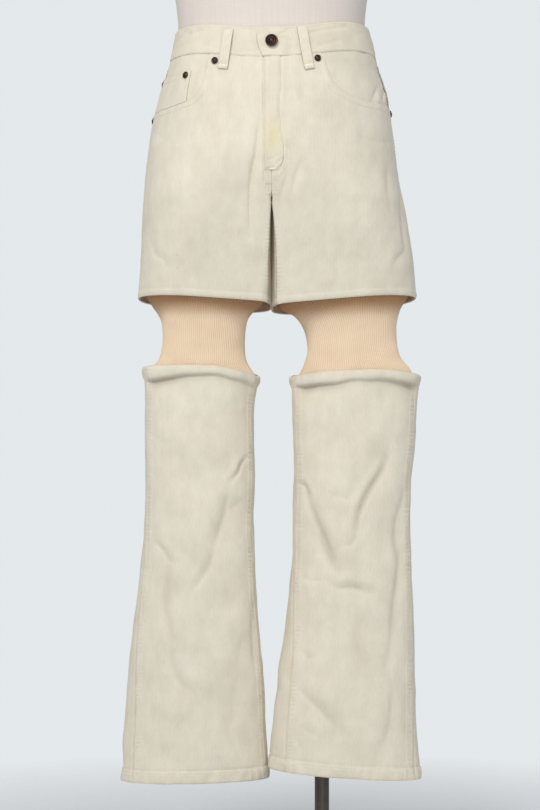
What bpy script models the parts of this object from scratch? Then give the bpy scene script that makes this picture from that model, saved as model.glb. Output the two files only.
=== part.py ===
"""Rib knit insert trousers, worn by a limbless linen form on an off-centre pole.

Metres, +Z up. The origin is on the floor, at the centre of the round base. The front of the
trousers faces -Y and the wearer's left leg is at +X. Each leg is a stack of rounded sections,
and every cloth piece is a wall whose points are read from them.
"""

import math
from typing import NamedTuple

import bmesh
import bpy
from mathutils import Vector

# ---- Driving dimensions ---------------------------------------------------------------------

SEAM_GAP = 0.0003           # between neighbouring pieces of cloth
HALF_GAP = SEAM_GAP / 2
FACET_ROOM = 0.0006         # extra room between two faceted layers that lie on each other
CLOTH_WALL = 0.0015
FOLDED_WALL = 0.0026        # a hem or a turned edge
KNIT_WALL = 0.0020
BAND_WALL = 0.0025
PATCH_WALL = 0.0012         # pockets, fly and loops
ROUNDNESS = 2.2             # exponent of the sections; 2 is an ellipse

WAIST_SEAM = 1.1513         # nominal heights of the main lines
BAND_TOP = 1.1910
CROTCH = 0.9540
HEM_DEPTH = 0.0160
RIM_FOLD = 0.0120


class Section(NamedTuple):
    """One level section of a leg, its sideways sizes measured away from the centre plane."""

    z: float        # nominal height
    outer: float    # outermost reach
    inner: float    # innermost reach; below zero the two legs merge
    front: float    # y of the front
    back: float     # y of the back
    tilt: float     # rise per metre towards the back
    roll: float     # rise per metre towards the wearer's left
    arch: float     # rise of the front and back between their middle and the side
    outseam: float  # degrees that the outer seam lies in front of the side
    inseam: float   # degrees that the inner seam lies in front of the inner side


class Leg(NamedTuple):
    name: str
    side: int       # +1 is the wearer's left, -1 the right
    sections: tuple


RIGHT_THIGH = Leg("thigh_right", -1, (
    Section(1.1910, 0.1320, -0.1320, -0.0915, 0.0985, 0.12, 0.02, 0.007, -4, 0),
    Section(1.1513, 0.1405, -0.1405, -0.0975, 0.1075, 0.12, 0.02, 0.007, -4, 0),
    Section(1.1000, 0.1560, -0.1560, -0.1035, 0.1230, 0.05, 0.01, 0.001, -2, 0),
    Section(1.0500, 0.1665, -0.1500, -0.1060, 0.1330, 0.00, 0.00, 0.000, 3, 0),
    Section(1.0050, 0.1730, -0.0900, -0.1050, 0.1330, 0.00, 0.00, 0.000, 11, 0),
    Section(0.9800, 0.1750, -0.0440, -0.1018, 0.1258, 0.00, 0.00, 0.000, 15, 0),
    Section(0.9680, 0.1760, -0.0195, -0.0995, 0.1200, 0.00, 0.00, 0.000, 17, 0),
    Section(0.9600, 0.1766, -0.0062, -0.0977, 0.1154, 0.00, 0.00, 0.000, 17.5, 0),
    Section(0.9540, 0.1770, 0.00015, -0.0960, 0.1120, 0.00, 0.00, 0.000, 18, 0),
    Section(0.9450, 0.1773, 0.0008, -0.0940, 0.1083, 0.00, 0.00, 0.000, 18, 0.8),
    Section(0.9300, 0.1778, 0.0014, -0.0905, 0.1022, 0.00, 0.00, 0.000, 18, 2.2),
    Section(0.9100, 0.1785, 0.0017, -0.0860, 0.0940, 0.00, 0.00, 0.000, 18, 4),
    Section(0.8600, 0.1810, 0.0027, -0.0735, 0.0785, -0.03, -0.02, 0.000, 18, 8),
    Section(0.8078, 0.1843, 0.0038, -0.0640, 0.0690, -0.106, -0.070, 0.000, 18, 10),
))
LEFT_THIGH = Leg("thigh_left", +1, (
    Section(1.1910, 0.1340, -0.1340, -0.0915, 0.0985, 0.12, 0.02, 0.007, 0, 0),
    Section(1.1513, 0.1430, -0.1430, -0.0975, 0.1075, 0.12, 0.02, 0.007, 0, 0),
    Section(1.1000, 0.1600, -0.1600, -0.1035, 0.1230, 0.05, 0.01, 0.001, 1, 0),
    Section(1.0500, 0.1675, -0.1500, -0.1060, 0.1330, 0.00, 0.00, 0.000, 2, 0),
    Section(1.0050, 0.1730, -0.0900, -0.1050, 0.1330, 0.00, 0.00, 0.000, 4, 0),
    Section(0.9800, 0.1762, -0.0440, -0.1018, 0.1258, 0.00, 0.00, 0.000, 5, 0),
    Section(0.9680, 0.1790, -0.0195, -0.0995, 0.1200, 0.00, 0.00, 0.000, 5.5, 0),
    Section(0.9600, 0.1806, -0.0062, -0.0977, 0.1154, 0.00, 0.00, 0.000, 6, 0),
    Section(0.9540, 0.1820, 0.00015, -0.0960, 0.1120, 0.00, 0.00, 0.000, 6, 0),
    Section(0.9450, 0.1836, 0.0008, -0.0940, 0.1083, 0.00, 0.00, 0.000, 6, 1.2),
    Section(0.9300, 0.1862, 0.0014, -0.0905, 0.1022, 0.00, 0.00, 0.000, 6, 3.3),
    Section(0.9100, 0.1893, 0.0017, -0.0860, 0.0940, 0.00, 0.00, 0.000, 6, 6),
    Section(0.8750, 0.1939, 0.0025, -0.0770, 0.0820, -0.02, 0.020, 0.000, 6, 11),
    Section(0.8045, 0.1994, 0.0042, -0.0640, 0.0690, -0.106, 0.085, 0.000, 6, 14),
))
RIGHT_KNIT = Leg("knit_right", -1, (
    Section(0.8193, 0.1780, 0.0085, -0.0615, 0.0665, -0.106, -0.070, 0, 0, 0),
    Section(0.8100, 0.1710, 0.0165, -0.0560, 0.0610, -0.095, -0.065, 0, 0, 0),
    Section(0.8030, 0.1640, 0.0250, -0.0515, 0.0565, -0.075, -0.055, 0, 0, 0),
    Section(0.7960, 0.1565, 0.0310, -0.0465, 0.0515, -0.045, -0.035, 0, 0, 0),
    Section(0.7880, 0.1520, 0.0345, -0.0430, 0.0480, -0.015, -0.010, 0, 0, 0),
    Section(0.7690, 0.1499, 0.0370, -0.0400, 0.0450, 0.00, 0.000, 0, 0, 0),
    Section(0.7500, 0.1517, 0.0372, -0.0395, 0.0445, 0.00, 0.000, 0, 0, 0),
    Section(0.7370, 0.1560, 0.0350, -0.0395, 0.0445, 0.00, 0.000, 0, 0, 0),
    Section(0.7260, 0.1650, 0.0295, -0.0400, 0.0450, 0.00, 0.000, 0, 0, 0),
    Section(0.7150, 0.1720, 0.0225, -0.0447, 0.0496, 0.00, 0.000, 0, 0, 0),
    Section(0.7060, 0.1731, 0.0203, -0.0440, 0.0492, 0.00, 0.000, 0, 0, 0),
))
LEFT_KNIT = Leg("knit_left", +1, (
    Section(0.8160, 0.1915, 0.0090, -0.0612, 0.0662, -0.106, 0.085, 0, 0, 0),
    Section(0.8060, 0.1850, 0.0165, -0.0560, 0.0610, -0.095, 0.080, 0, 0, 0),
    Section(0.7970, 0.1775, 0.0300, -0.0500, 0.0550, -0.065, 0.060, 0, 0, 0),
    Section(0.7870, 0.1737, 0.0405, -0.0440, 0.0485, -0.030, 0.030, 0, 0, 0),
    Section(0.7690, 0.1720, 0.0480, -0.0400, 0.0440, 0.00, 0.000, 0, 0, 0),
    Section(0.7520, 0.1740, 0.0495, -0.0400, 0.0435, 0.00, 0.000, 0, 0, 0),
    Section(0.7360, 0.1800, 0.0465, -0.0400, 0.0435, 0.00, 0.010, 0, 0, 0),
    Section(0.7220, 0.1893, 0.0415, -0.0405, 0.0440, 0.00, 0.020, 0, 0, 0),
    Section(0.7040, 0.1995, 0.0310, -0.0448, 0.0478, 0.00, 0.020, 0, 0, 0),
))
RIGHT_CALF = Leg("calf_right", -1, (
    Section(0.7280, 0.1787, 0.0117, -0.0480, 0.0530, -0.04, 0.000, 0, 14, 8),
    Section(0.6820, 0.1746, 0.0225, -0.0455, 0.0525, 0.00, 0.000, 0, 14, 12),
    Section(0.6270, 0.1745, 0.0242, -0.0450, 0.0530, 0.00, 0.000, 0, 14, 10),
    Section(0.5715, 0.1732, 0.0228, -0.0445, 0.0535, 0.00, 0.000, 0, 12, 12),
    Section(0.5160, 0.1760, 0.0242, -0.0440, 0.0545, 0.00, 0.000, 0, 14, 15),
    Section(0.4610, 0.1800, 0.0228, -0.0430, 0.0560, 0.00, 0.000, 0, 18, 14),
    Section(0.4060, 0.1868, 0.0200, -0.0420, 0.0570, 0.00, 0.000, 0, 22, 12),
    Section(0.3500, 0.1935, 0.0159, -0.0410, 0.0590, 0.00, 0.005, 0, 26, 12),
    Section(0.2950, 0.1985, 0.0117, -0.0400, 0.0600, 0.00, 0.010, 0, 30, 12),
    Section(0.2400, 0.2036, 0.0083, -0.0390, 0.0610, 0.00, 0.015, 0, 34, 12),
    Section(0.1610, 0.2090, 0.0030, -0.0380, 0.0620, 0.00, 0.018, 0, 36, 12),
))
LEFT_CALF = Leg("calf_left", +1, (
    Section(0.7190, 0.2070, 0.0235, -0.0485, 0.0520, -0.04, 0.020, 0, 6, 12),
    Section(0.6820, 0.2010, 0.0272, -0.0480, 0.0500, 0.00, 0.010, 0, 6, 14),
    Section(0.6270, 0.1975, 0.0308, -0.0485, 0.0490, 0.00, 0.000, 0, 6, 6),
    Section(0.5715, 0.1915, 0.0310, -0.0500, 0.0485, 0.00, 0.000, 0, 6, 12),
    Section(0.5160, 0.1912, 0.0290, -0.0515, 0.0480, 0.00, 0.000, 0, 6, 12),
    Section(0.4610, 0.1925, 0.0276, -0.0530, 0.0470, 0.00, 0.000, 0, 6, 14),
    Section(0.4060, 0.1940, 0.0218, -0.0550, 0.0455, 0.00, -0.010, 0, 8, 24),
    Section(0.3500, 0.1965, 0.0155, -0.0570, 0.0440, 0.00, -0.020, 0, 12, 32),
    Section(0.2950, 0.1980, 0.0080, -0.0590, 0.0430, 0.00, -0.030, 0, 16, 36),
    Section(0.2400, 0.1998, 0.0010, -0.0610, 0.0420, 0.00, -0.040, 0, 20, 38),
    Section(0.1777, 0.2050, -0.0045, -0.0620, 0.0420, 0.00, -0.070, 0, 26, 40),
))


class Fold(NamedTuple):
    """A soft trough in the cloth; its path is given by heights and distances from the centre."""

    leg: str
    face: int       # -1 on the front, +1 on the back
    depth: float
    width: float    # from the trough's line to where it is nearly flat
    path: tuple     # of (z, x)


FOLDS = (
    Fold("thigh_right", -1, 0.0035, 0.016, ((1.020, 0.014), (0.985, 0.024), (0.900, 0.030))),
    Fold("thigh_left", -1, 0.0030, 0.016, ((0.960, 0.172), (0.905, 0.184), (0.850, 0.172))),
    Fold("thigh_right", +1, 0.0045, 0.018, ((0.935, 0.030), (0.918, 0.090), (0.930, 0.150))),
    Fold("thigh_left", +1, 0.0045, 0.018, ((0.940, 0.030), (0.922, 0.085), (0.938, 0.155))),
    Fold("calf_right", -1, 0.0045, 0.020, ((0.590, 0.055), (0.508, 0.080), (0.405, 0.116))),
    Fold("calf_right", -1, 0.0035, 0.020, ((0.440, 0.146), (0.349, 0.132), (0.270, 0.104))),
    Fold("calf_right", +1, 0.0045, 0.020, ((0.560, 0.140), (0.490, 0.105), (0.420, 0.075))),
    Fold("calf_left", -1, 0.0050, 0.018, ((0.630, 0.163), (0.545, 0.129), (0.470, 0.102))),
    Fold("calf_left", -1, 0.0050, 0.018, ((0.575, 0.041), (0.482, 0.077), (0.420, 0.136))),
    Fold("calf_left", -1, 0.0040, 0.018, ((0.530, 0.179), (0.400, 0.164), (0.240, 0.158))),
    Fold("calf_left", +1, 0.0045, 0.020, ((0.580, 0.070), (0.500, 0.105), (0.430, 0.150))),
)

# Levels at which the thigh pieces have their rows of points.
HIP_LEVELS = (1.1513, 1.1280, 1.1020, 1.0760, 1.0480, 1.0170, 0.9920)
CROTCH_LEVELS = (0.9740, 0.9640, 0.9580, 0.9540, 0.9460)
LOWER_THIGH_ROWS = 4
CALF_ROWS = 13
KNIT_ROWS = 8
KNIT_COLUMNS = 22
BAND_ROWS = 1
# Columns of a panel, closer together where the leg bends round at its seams.
PANEL_SHARES = (0.0, 0.06, 0.15, 0.26, 0.38, 0.50, 0.62, 0.74, 0.85, 0.94, 1.0)
FRONT_INNER_SHARES = (0.0, 0.05, 0.12, 0.22, 0.32)


class ScoopPoint(NamedTuple):
    """A point of a front pocket's scoop, and of the front panel's columns."""

    share: float    # of the way from the centre front to the outer seam
    z: float        # nominal height of the scoop there


SCOOP = {
    -1: (ScoopPoint(0.425, 1.1513), ScoopPoint(0.434, 1.1140), ScoopPoint(0.490, 1.0910),
         ScoopPoint(0.545, 1.0860), ScoopPoint(0.640, 1.0815), ScoopPoint(0.760, 1.0785),
         ScoopPoint(0.880, 1.0770), ScoopPoint(1.000, 1.0755)),
    +1: (ScoopPoint(0.350, 1.1513), ScoopPoint(0.395, 1.1090), ScoopPoint(0.480, 1.0940),
         ScoopPoint(0.560, 1.0880), ScoopPoint(0.645, 1.0850), ScoopPoint(0.760, 1.0840),
         ScoopPoint(0.880, 1.0835), ScoopPoint(1.000, 1.0830)),
}
FACING_UNDERLAP = 0.014

YOKE_DROP_CENTRE = 0.072
YOKE_DROP_SIDE = 0.038

FORM_COLUMNS = 36


# ---- Surfaces -------------------------------------------------------------------------------

def smooth_value(knots, values, at):
    """Cubic through the knots, which fall in height; its ends are held."""
    at = min(max(at, knots[-1]), knots[0])
    k = 0
    while k < len(knots) - 2 and at < knots[k + 1]:
        k += 1

    def slope(i):
        if i == 0 or i == len(knots) - 1:
            a, b = (0, 1) if i == 0 else (i - 1, i)
            return (values[b] - values[a]) / (knots[b] - knots[a])
        return (values[i + 1] - values[i - 1]) / (knots[i + 1] - knots[i - 1])

    span = knots[k + 1] - knots[k]
    t = (at - knots[k]) / span
    start, end = values[k], values[k + 1]
    rise_in, rise_out = slope(k) * span, slope(k + 1) * span
    return (start * (2 * t**3 - 3 * t**2 + 1) + rise_in * (t**3 - 2 * t**2 + t)
            + end * (3 * t**2 - 2 * t**3) + rise_out * (t**3 - t**2))


def section_at(leg, z):
    knots = [s.z for s in leg.sections]
    columns = list(zip(*leg.sections))
    z = min(max(z, knots[-1]), knots[0])
    return Section(z, *(smooth_value(knots, column, z) for column in columns[1:]))


def section_point(section, side, degrees):
    """A point of a section: 0 degrees is the outer side, -90 the front and 180 the inner side."""
    angle = math.radians(degrees)
    across = math.copysign(abs(math.cos(angle)) ** (2 / ROUNDNESS), math.cos(angle))
    along = math.copysign(abs(math.sin(angle)) ** (2 / ROUNDNESS), math.sin(angle))
    x = (section.outer + section.inner) / 2 + (section.outer - section.inner) / 2 * across
    y = (section.back + section.front) / 2 + (section.back - section.front) / 2 * along
    arch = section.arch * math.sin(2 * angle) ** 2
    return Vector((side * x, y, section.z + section.tilt * y + section.roll * side * x + arch))


def smooth_point(leg, z, degrees):
    return section_point(section_at(leg, z), leg.side, degrees)


FOLD_STEPS = 24
FOLD_CACHE = {}


def fold_paths(leg):
    """Each fold of a leg as points close together on the smooth surface."""
    paths = []
    for fold in FOLDS:
        if fold.leg != leg.name:
            continue
        heights, reaches = zip(*fold.path)
        points = []
        for i in range(FOLD_STEPS + 1):
            z = heights[0] + (heights[-1] - heights[0]) * i / FOLD_STEPS
            if heights[0] > heights[-1]:
                x = smooth_value(heights, reaches, z)
            else:
                x = reaches[0] + (reaches[-1] - reaches[0]) * i / FOLD_STEPS
            points.append(smooth_point(leg, z, angle_at_x(leg, z, x, fold.face)))
        paths.append((fold, points))
    return paths


def fold_depth(leg, point):
    """How far the folds press the cloth in at a point; each fades out at its two ends."""
    total = 0.0
    if leg.name not in FOLD_CACHE:
        FOLD_CACHE[leg.name] = fold_paths(leg)
    for fold, points in FOLD_CACHE[leg.name]:
        distance, place = min(((point - p).length, i) for i, p in enumerate(points))
        fade = math.sin(math.pi * (place + 1) / (len(points) + 1)) ** 0.6
        total += fold.depth * fade * math.exp(-(2.0 * distance / fold.width) ** 2)
    return total


def cloth_point(leg, z, degrees, depth=0.0):
    """A point of the leg's folded surface, moved inward by depth along its normal."""
    point = smooth_point(leg, z, degrees)
    return point - cloth_normal(leg, z, degrees) * (depth + fold_depth(leg, point))


def cloth_normal(leg, z, degrees):
    turn, step = 0.5, 0.001
    here = section_at(leg, z)
    along = section_point(here, leg.side, degrees + turn)
    along = along - section_point(here, leg.side, degrees - turn)
    down = section_point(section_at(leg, z - step), leg.side, degrees)
    down = down - section_point(section_at(leg, z + step), leg.side, degrees)
    return down.cross(along).normalized() * leg.side


def angle_at_x(leg, z, x, face=-1):
    """Degrees at which the front (face -1) or the back (+1) passes a distance from the centre."""
    section = section_at(leg, z)
    reach = (section.outer - section.inner) / 2
    share = (x - (section.outer + section.inner) / 2) / reach
    share = min(max(share, -1.0), 1.0)
    cosine = math.copysign(abs(share) ** (ROUNDNESS / 2), share)
    return face * math.degrees(math.acos(cosine))


def angle_past(leg, z, degrees, distance, direction):
    """Degrees reached by going a short distance along the section."""
    start = cloth_point(leg, z, degrees)
    low, high = 0.0, 60.0
    for _ in range(30):
        middle = (low + high) / 2
        if (cloth_point(leg, z, degrees + direction * middle) - start).length < distance:
            low = middle
        else:
            high = middle
    return degrees + direction * high


def shared_angles(leg, z, start, end, shares):
    """Angles at shares of the length of a stretch of the section."""
    samples = 60
    section = section_at(leg, z)
    angles = [start + (end - start) * i / samples for i in range(samples + 1)]
    points = [section_point(section, leg.side, angle) for angle in angles]
    lengths = [0.0]
    for a, b in zip(points, points[1:]):
        lengths.append(lengths[-1] + (b - a).length)
    found = []
    for share in shares:
        target = lengths[-1] * share
        k = 0
        while k < samples - 1 and lengths[k + 1] < target:
            k += 1
        part = (target - lengths[k]) / (lengths[k + 1] - lengths[k])
        found.append(angles[k] + (angles[k + 1] - angles[k]) * min(max(part, 0.0), 1.0))
    return found


def even_angles(leg, z, start, end, columns):
    return shared_angles(leg, z, start, end, [j / columns for j in range(columns + 1)])


# ---- Solids from grids of points ------------------------------------------------------------

def add_object(name, vertices, faces, material, smooth=True):
    mesh = bpy.data.meshes.new(name)
    mesh.from_pydata([tuple(v) for v in vertices], [], faces)
    mesh.materials.append(material)
    builder = bmesh.new()
    builder.from_mesh(mesh)
    bmesh.ops.recalc_face_normals(builder, faces=builder.faces)
    builder.to_mesh(mesh)
    builder.free()
    if smooth:
        mesh.shade_smooth()
        mesh.set_sharp_from_angle(angle=math.radians(50))
    item = bpy.data.objects.new(name, mesh)
    bpy.context.scene.collection.objects.link(item)
    return item


def wall_solid(name, outside, inside, material, ring=False):
    """A closed wall between two grids of points, which close on themselves if ring is set."""
    rows, columns = len(outside), len(outside[0])
    vertices = [p for row in outside for p in row] + [p for row in inside for p in row]
    shift = rows * columns
    faces = []
    last = columns if ring else columns - 1
    for i in range(rows - 1):
        for j in range(last):
            a, b = i * columns + j, i * columns + (j + 1) % columns
            c, d = b + columns, a + columns
            faces.append((a, b, c, d))
            faces.append((shift + d, shift + c, shift + b, shift + a))
    for j in range(last):
        a, b = j, (j + 1) % columns
        faces.append((b, a, shift + a, shift + b))
        a, b = a + (rows - 1) * columns, b + (rows - 1) * columns
        faces.append((a, b, shift + b, shift + a))
    if not ring:
        for i in range(rows - 1):
            a, b = i * columns, (i + 1) * columns
            faces.append((a, b, shift + b, shift + a))
            a, b = a + columns - 1, b + columns - 1
            faces.append((b, a, shift + a, shift + b))
    return add_object(name, vertices, faces, material)


def panel(name, leg, levels, start_at, end_at, material, shares=PANEL_SHARES,
          depth_at=None, wall_at=None):
    """A piece of cloth between two seams; levels gives each row's height at a share across."""
    depth_at = depth_at or (lambda z, share: 0.0)
    wall_at = wall_at or (lambda z: CLOTH_WALL)
    outside, inside = [], []
    for level in levels:
        row_out, row_in = [], []
        for share in shares:
            z = level(share)
            angle, = shared_angles(leg, z, start_at(z), end_at(z), [share])
            depth = depth_at(z, share)
            row_out.append(cloth_point(leg, z, angle, depth))
            row_in.append(cloth_point(leg, z, angle, depth + wall_at(z)))
        outside.append(row_out)
        inside.append(row_in)
    return wall_solid(name, outside, inside, material)


def tube(name, leg, rows, columns, wall, material):
    """A seamless tube over the whole of a leg's sections."""
    top, bottom = leg.sections[0].z, leg.sections[-1].z
    outside, inside = [], []
    for i in range(rows + 1):
        z = top + (bottom - top) * i / rows
        angles = even_angles(leg, z, -180.0, 180.0, columns)[:-1]
        outside.append([cloth_point(leg, z, angle) for angle in angles])
        inside.append([cloth_point(leg, z, angle, wall) for angle in angles])
    return wall_solid(name, outside, inside, material, ring=True)


def front_patch(name, rows, lift, wall, material, columns, face=-1):
    """A patch on the front or back; each row is a height and its two distances from the centre."""
    outside, inside = [], []
    for z, left, right in rows:
        row_out, row_in = [], []
        for j in range(columns + 1):
            x = left + (right - left) * j / columns
            leg = LEFT_THIGH if x >= 0 else RIGHT_THIGH
            angle = angle_at_x(leg, z, abs(x), face)
            row_out.append(cloth_point(leg, z, angle, -lift - wall))
            row_in.append(cloth_point(leg, z, angle, -lift))
        outside.append(row_out)
        inside.append(row_in)
    return wall_solid(name, outside, inside, material)


def turned(name, profile, segments, material):
    """A turned solid about +Z; the profile runs from the axis, round the outside, to the axis."""
    builder = bmesh.new()
    points = [builder.verts.new((r, 0.0, z)) for r, z in profile]
    for a, b in zip(points, points[1:]):
        builder.edges.new((a, b))
    bmesh.ops.spin(builder, geom=list(builder.verts) + list(builder.edges), axis=(0, 0, 1),
                   cent=(0, 0, 0), angle=math.tau, steps=segments, use_merge=True)
    bmesh.ops.remove_doubles(builder, verts=builder.verts, dist=1e-6)
    bmesh.ops.recalc_face_normals(builder, faces=builder.faces)
    mesh = bpy.data.meshes.new(name)
    builder.to_mesh(mesh)
    builder.free()
    mesh.materials.append(material)
    mesh.shade_smooth()
    mesh.set_sharp_from_angle(angle=math.radians(40))
    item = bpy.data.objects.new(name, mesh)
    bpy.context.scene.collection.objects.link(item)
    return item


def make_material(name, colour, roughness, metallic=0.0):
    material = bpy.data.materials.new(name)
    material.use_nodes = True
    shader = material.node_tree.nodes["Principled BSDF"]
    shader.inputs["Base Color"].default_value = (*colour, 1.0)
    shader.inputs["Roughness"].default_value = roughness
    shader.inputs["Metallic"].default_value = metallic
    return material


# ---- Seam lines -----------------------------------------------------------------------------

def flat_level(z):
    return lambda share: z


def centre_angle(leg, face):
    """The centre seam above the crotch, and the inner seam below it."""
    def at(z):
        section = section_at(leg, z)
        if section.inner < HALF_GAP:
            return angle_at_x(leg, z, HALF_GAP, face)
        seam = -180.0 + section.inseam
        if face > 0:
            seam += 360.0
            return angle_past(leg, z, seam, HALF_GAP, -1)
        return angle_past(leg, z, seam, HALF_GAP, +1)
    return at


def outer_angle(leg, face):
    def at(z):
        return angle_past(leg, z, -section_at(leg, z).outseam, HALF_GAP, face)
    return at


def inner_angle(leg, face):
    def at(z):
        seam = -180.0 + section_at(leg, z).inseam
        if face > 0:
            return angle_past(leg, z, seam + 360.0, HALF_GAP, -1)
        return angle_past(leg, z, seam, HALF_GAP, +1)
    return at


def scoop_level(leg):
    """Height of the front panel's upper edge at a share across: the waist seam, then the scoop."""
    points = SCOOP[leg.side]

    def at(share):
        if share <= points[0].share:
            return WAIST_SEAM - HALF_GAP
        for a, b in zip(points, points[1:]):
            if share <= b.share + 1e-9:
                part = (share - a.share) / (b.share - a.share)
                return a.z + (b.z - a.z) * part - HALF_GAP
        return points[-1].z - HALF_GAP
    return at


def front_shares(leg):
    """Columns of the front panel, which pass through the scoop's own points."""
    return FRONT_INNER_SHARES + tuple(point.share for point in SCOOP[leg.side])


def lower_levels(leg):
    """Rows of a thigh piece from the crotch to the folded rim."""
    rim = leg.sections[-1].z
    lower = CROTCH_LEVELS[-1]
    drop = (rim + RIM_FOLD - lower) / LOWER_THIGH_ROWS
    heights = CROTCH_LEVELS + tuple(lower + drop * k for k in range(1, LOWER_THIGH_ROWS + 1))
    return [flat_level(z) for z in heights + (rim,)]


def front_levels(leg):
    """Rows of the front panel; those above the hip are squeezed under the pocket's scoop."""
    top = scoop_level(leg)
    hip = HIP_LEVELS[-1]
    levels = []
    for z in HIP_LEVELS:
        part = (z - hip) / (HIP_LEVELS[0] - hip)
        levels.append(lambda share, part=part: hip + (top(share) - hip) * part)
    return levels + lower_levels(leg)


def back_levels(leg, yoke_line):
    """Rows of the back panel; at the outer seam they meet the front panel's rows."""
    sides = [yoke_line(1.0)] + [level(1.0) for level in front_levels(leg)[:len(HIP_LEVELS)]]
    hip, count = HIP_LEVELS[-1], len(HIP_LEVELS)
    levels = []
    for k, side in enumerate(sides):
        centre = hip + (yoke_line(0.0) - hip) * (1.0 - k / count)
        levels.append(lambda share, a=centre, b=side: a + (b - a) * share)
    return levels + lower_levels(leg)


def rim_wall(leg):
    """The thigh's lower edge is folded inside."""
    fold = leg.sections[-1].z + RIM_FOLD
    return lambda z: FOLDED_WALL if z <= fold + 1e-6 else CLOTH_WALL


# ---- The pieces of cloth --------------------------------------------------------------------

def make_thigh(leg, word, cloth):
    top = WAIST_SEAM - HALF_GAP
    panel("front_" + word, leg, front_levels(leg), centre_angle(leg, -1),
          outer_angle(leg, -1), cloth, shares=front_shares(leg), wall_at=rim_wall(leg))

    def yoke_line(share):
        return top - YOKE_DROP_SIDE - (YOKE_DROP_CENTRE - YOKE_DROP_SIDE) * (1.0 - share)

    panel("back_" + word, leg, back_levels(leg, yoke_line), centre_angle(leg, +1),
          outer_angle(leg, +1), cloth, wall_at=rim_wall(leg))
    edge = top - FACET_ROOM
    rows = 2
    yoke_levels = [lambda share, k=k: edge + (yoke_line(share) + SEAM_GAP - edge) * k / rows
                   for k in range(rows + 1)]
    panel("yoke_" + word, leg, yoke_levels, centre_angle(leg, +1), outer_angle(leg, +1), cloth)


FACING_DEPTH = CLOTH_WALL + 2 * SEAM_GAP + FACET_ROOM


def make_front_pocket(leg, word, cloth):
    """The facing that shows inside the scoop and runs a little way under the front panel."""
    top = WAIST_SEAM - HALF_GAP - FACET_ROOM
    scoop = scoop_level(leg)
    points = SCOOP[leg.side]
    shares = (points[0].share - 0.07,) + tuple(p.share for p in points)

    def bottom(share):
        return scoop(max(share, points[1].share)) - FACING_UNDERLAP

    rows = 4
    levels = [lambda share, k=k: top + (bottom(share) - top) * k / rows for k in range(rows + 1)]
    panel("pocket_facing_" + word, leg, levels, centre_angle(leg, -1), outer_angle(leg, -1),
          cloth, shares=shares, depth_at=lambda z, share: FACING_DEPTH,
          wall_at=lambda z: PATCH_WALL)


class Dip(NamedTuple):
    """How far a calf's top edge lies below its highest level."""

    share: float    # of the way from the inner seam to the outer seam
    drop: float


CALF_DIPS = {
    -1: (Dip(0.00, 0.0150), Dip(0.10, 0.0110), Dip(0.25, 0.0062), Dip(0.42, 0.0010),
         Dip(0.55, 0.0000), Dip(1.00, 0.0000)),
    +1: (Dip(0.00, 0.0078), Dip(0.10, 0.0040), Dip(0.25, 0.0008), Dip(0.40, 0.0000),
         Dip(0.70, 0.0000), Dip(0.88, 0.0042), Dip(1.00, 0.0060)),
}
CALF_ROLL = ((0.0, 0.0044), (0.0018, 0.0018), (0.0055, 0.0003), (0.0120, 0.0))


def calf_dip(leg, share):
    dips = CALF_DIPS[leg.side]
    return smooth_value([-dip.share for dip in dips], [dip.drop for dip in dips], -share)


def make_calf(leg, word, cloth):
    top, bottom = leg.sections[0].z, leg.sections[-1].z
    rolled = CALF_ROLL[-1][0]
    levels = [lambda share, drop=drop: top - calf_dip(leg, share) - drop for drop, _ in CALF_ROLL]

    def level_below(k):
        def at(share):
            start = top - calf_dip(leg, share) - rolled
            return start + (bottom + HEM_DEPTH - start) * k / (CALF_ROWS - 1)
        return at

    levels += [level_below(k) for k in range(1, CALF_ROWS)]
    levels.append(flat_level(bottom))

    def inset(z, share):
        for drop, depth in CALF_ROLL:
            if z >= top - calf_dip(leg, share) - drop - 1e-6:
                return depth
        return 0.0

    def wall(z):
        return FOLDED_WALL if z <= bottom + HEM_DEPTH + 1e-6 else CLOTH_WALL

    for face, piece in ((-1, "calf_front_"), (+1, "calf_back_")):
        panel(piece + word, leg, levels, inner_angle(leg, face), outer_angle(leg, face), cloth,
              depth_at=inset, wall_at=wall)


# The fly lies on the wearer's left front and passes the centre: height, right edge, left edge.
FLY_ROWS = (
    (1.1510, -0.0105, 0.0170), (1.1250, -0.0100, 0.0175), (1.0950, -0.0095, 0.0180),
    (1.0650, -0.0090, 0.0175), (1.0400, -0.0080, 0.0165), (1.0220, -0.0070, 0.0140),
    (1.0080, -0.0060, 0.0095), (1.0000, -0.0050, 0.0030),
)
# The coin pocket lies on the right facing: its columns' shares and its top and bottom edges.
COIN_SHARES = (0.545, 0.640, 0.760, 0.880, 0.965)
COIN_TOP = (1.1295, 1.1255)
COIN_ROOM = 0.0015


def make_coin_pocket(cloth):
    """A small pocket on the right facing, cut off where the front panel's scoop covers it."""
    leg = RIGHT_THIGH
    scoop = scoop_level(leg)

    def top(share):
        part = (share - COIN_SHARES[0]) / (COIN_SHARES[-1] - COIN_SHARES[0])
        return COIN_TOP[0] + (COIN_TOP[1] - COIN_TOP[0]) * part

    rows = 3
    levels = [lambda share, k=k: top(share) + (scoop(share) + COIN_ROOM - top(share)) * k / rows
              for k in range(rows + 1)]
    panel("coin_pocket", leg, levels, centre_angle(leg, -1), outer_angle(leg, -1), cloth,
          shares=COIN_SHARES, wall_at=lambda z: PATCH_WALL,
          depth_at=lambda z, share: FACING_DEPTH - SEAM_GAP - PATCH_WALL)


POCKET_LIFT = 0.0012
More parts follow.
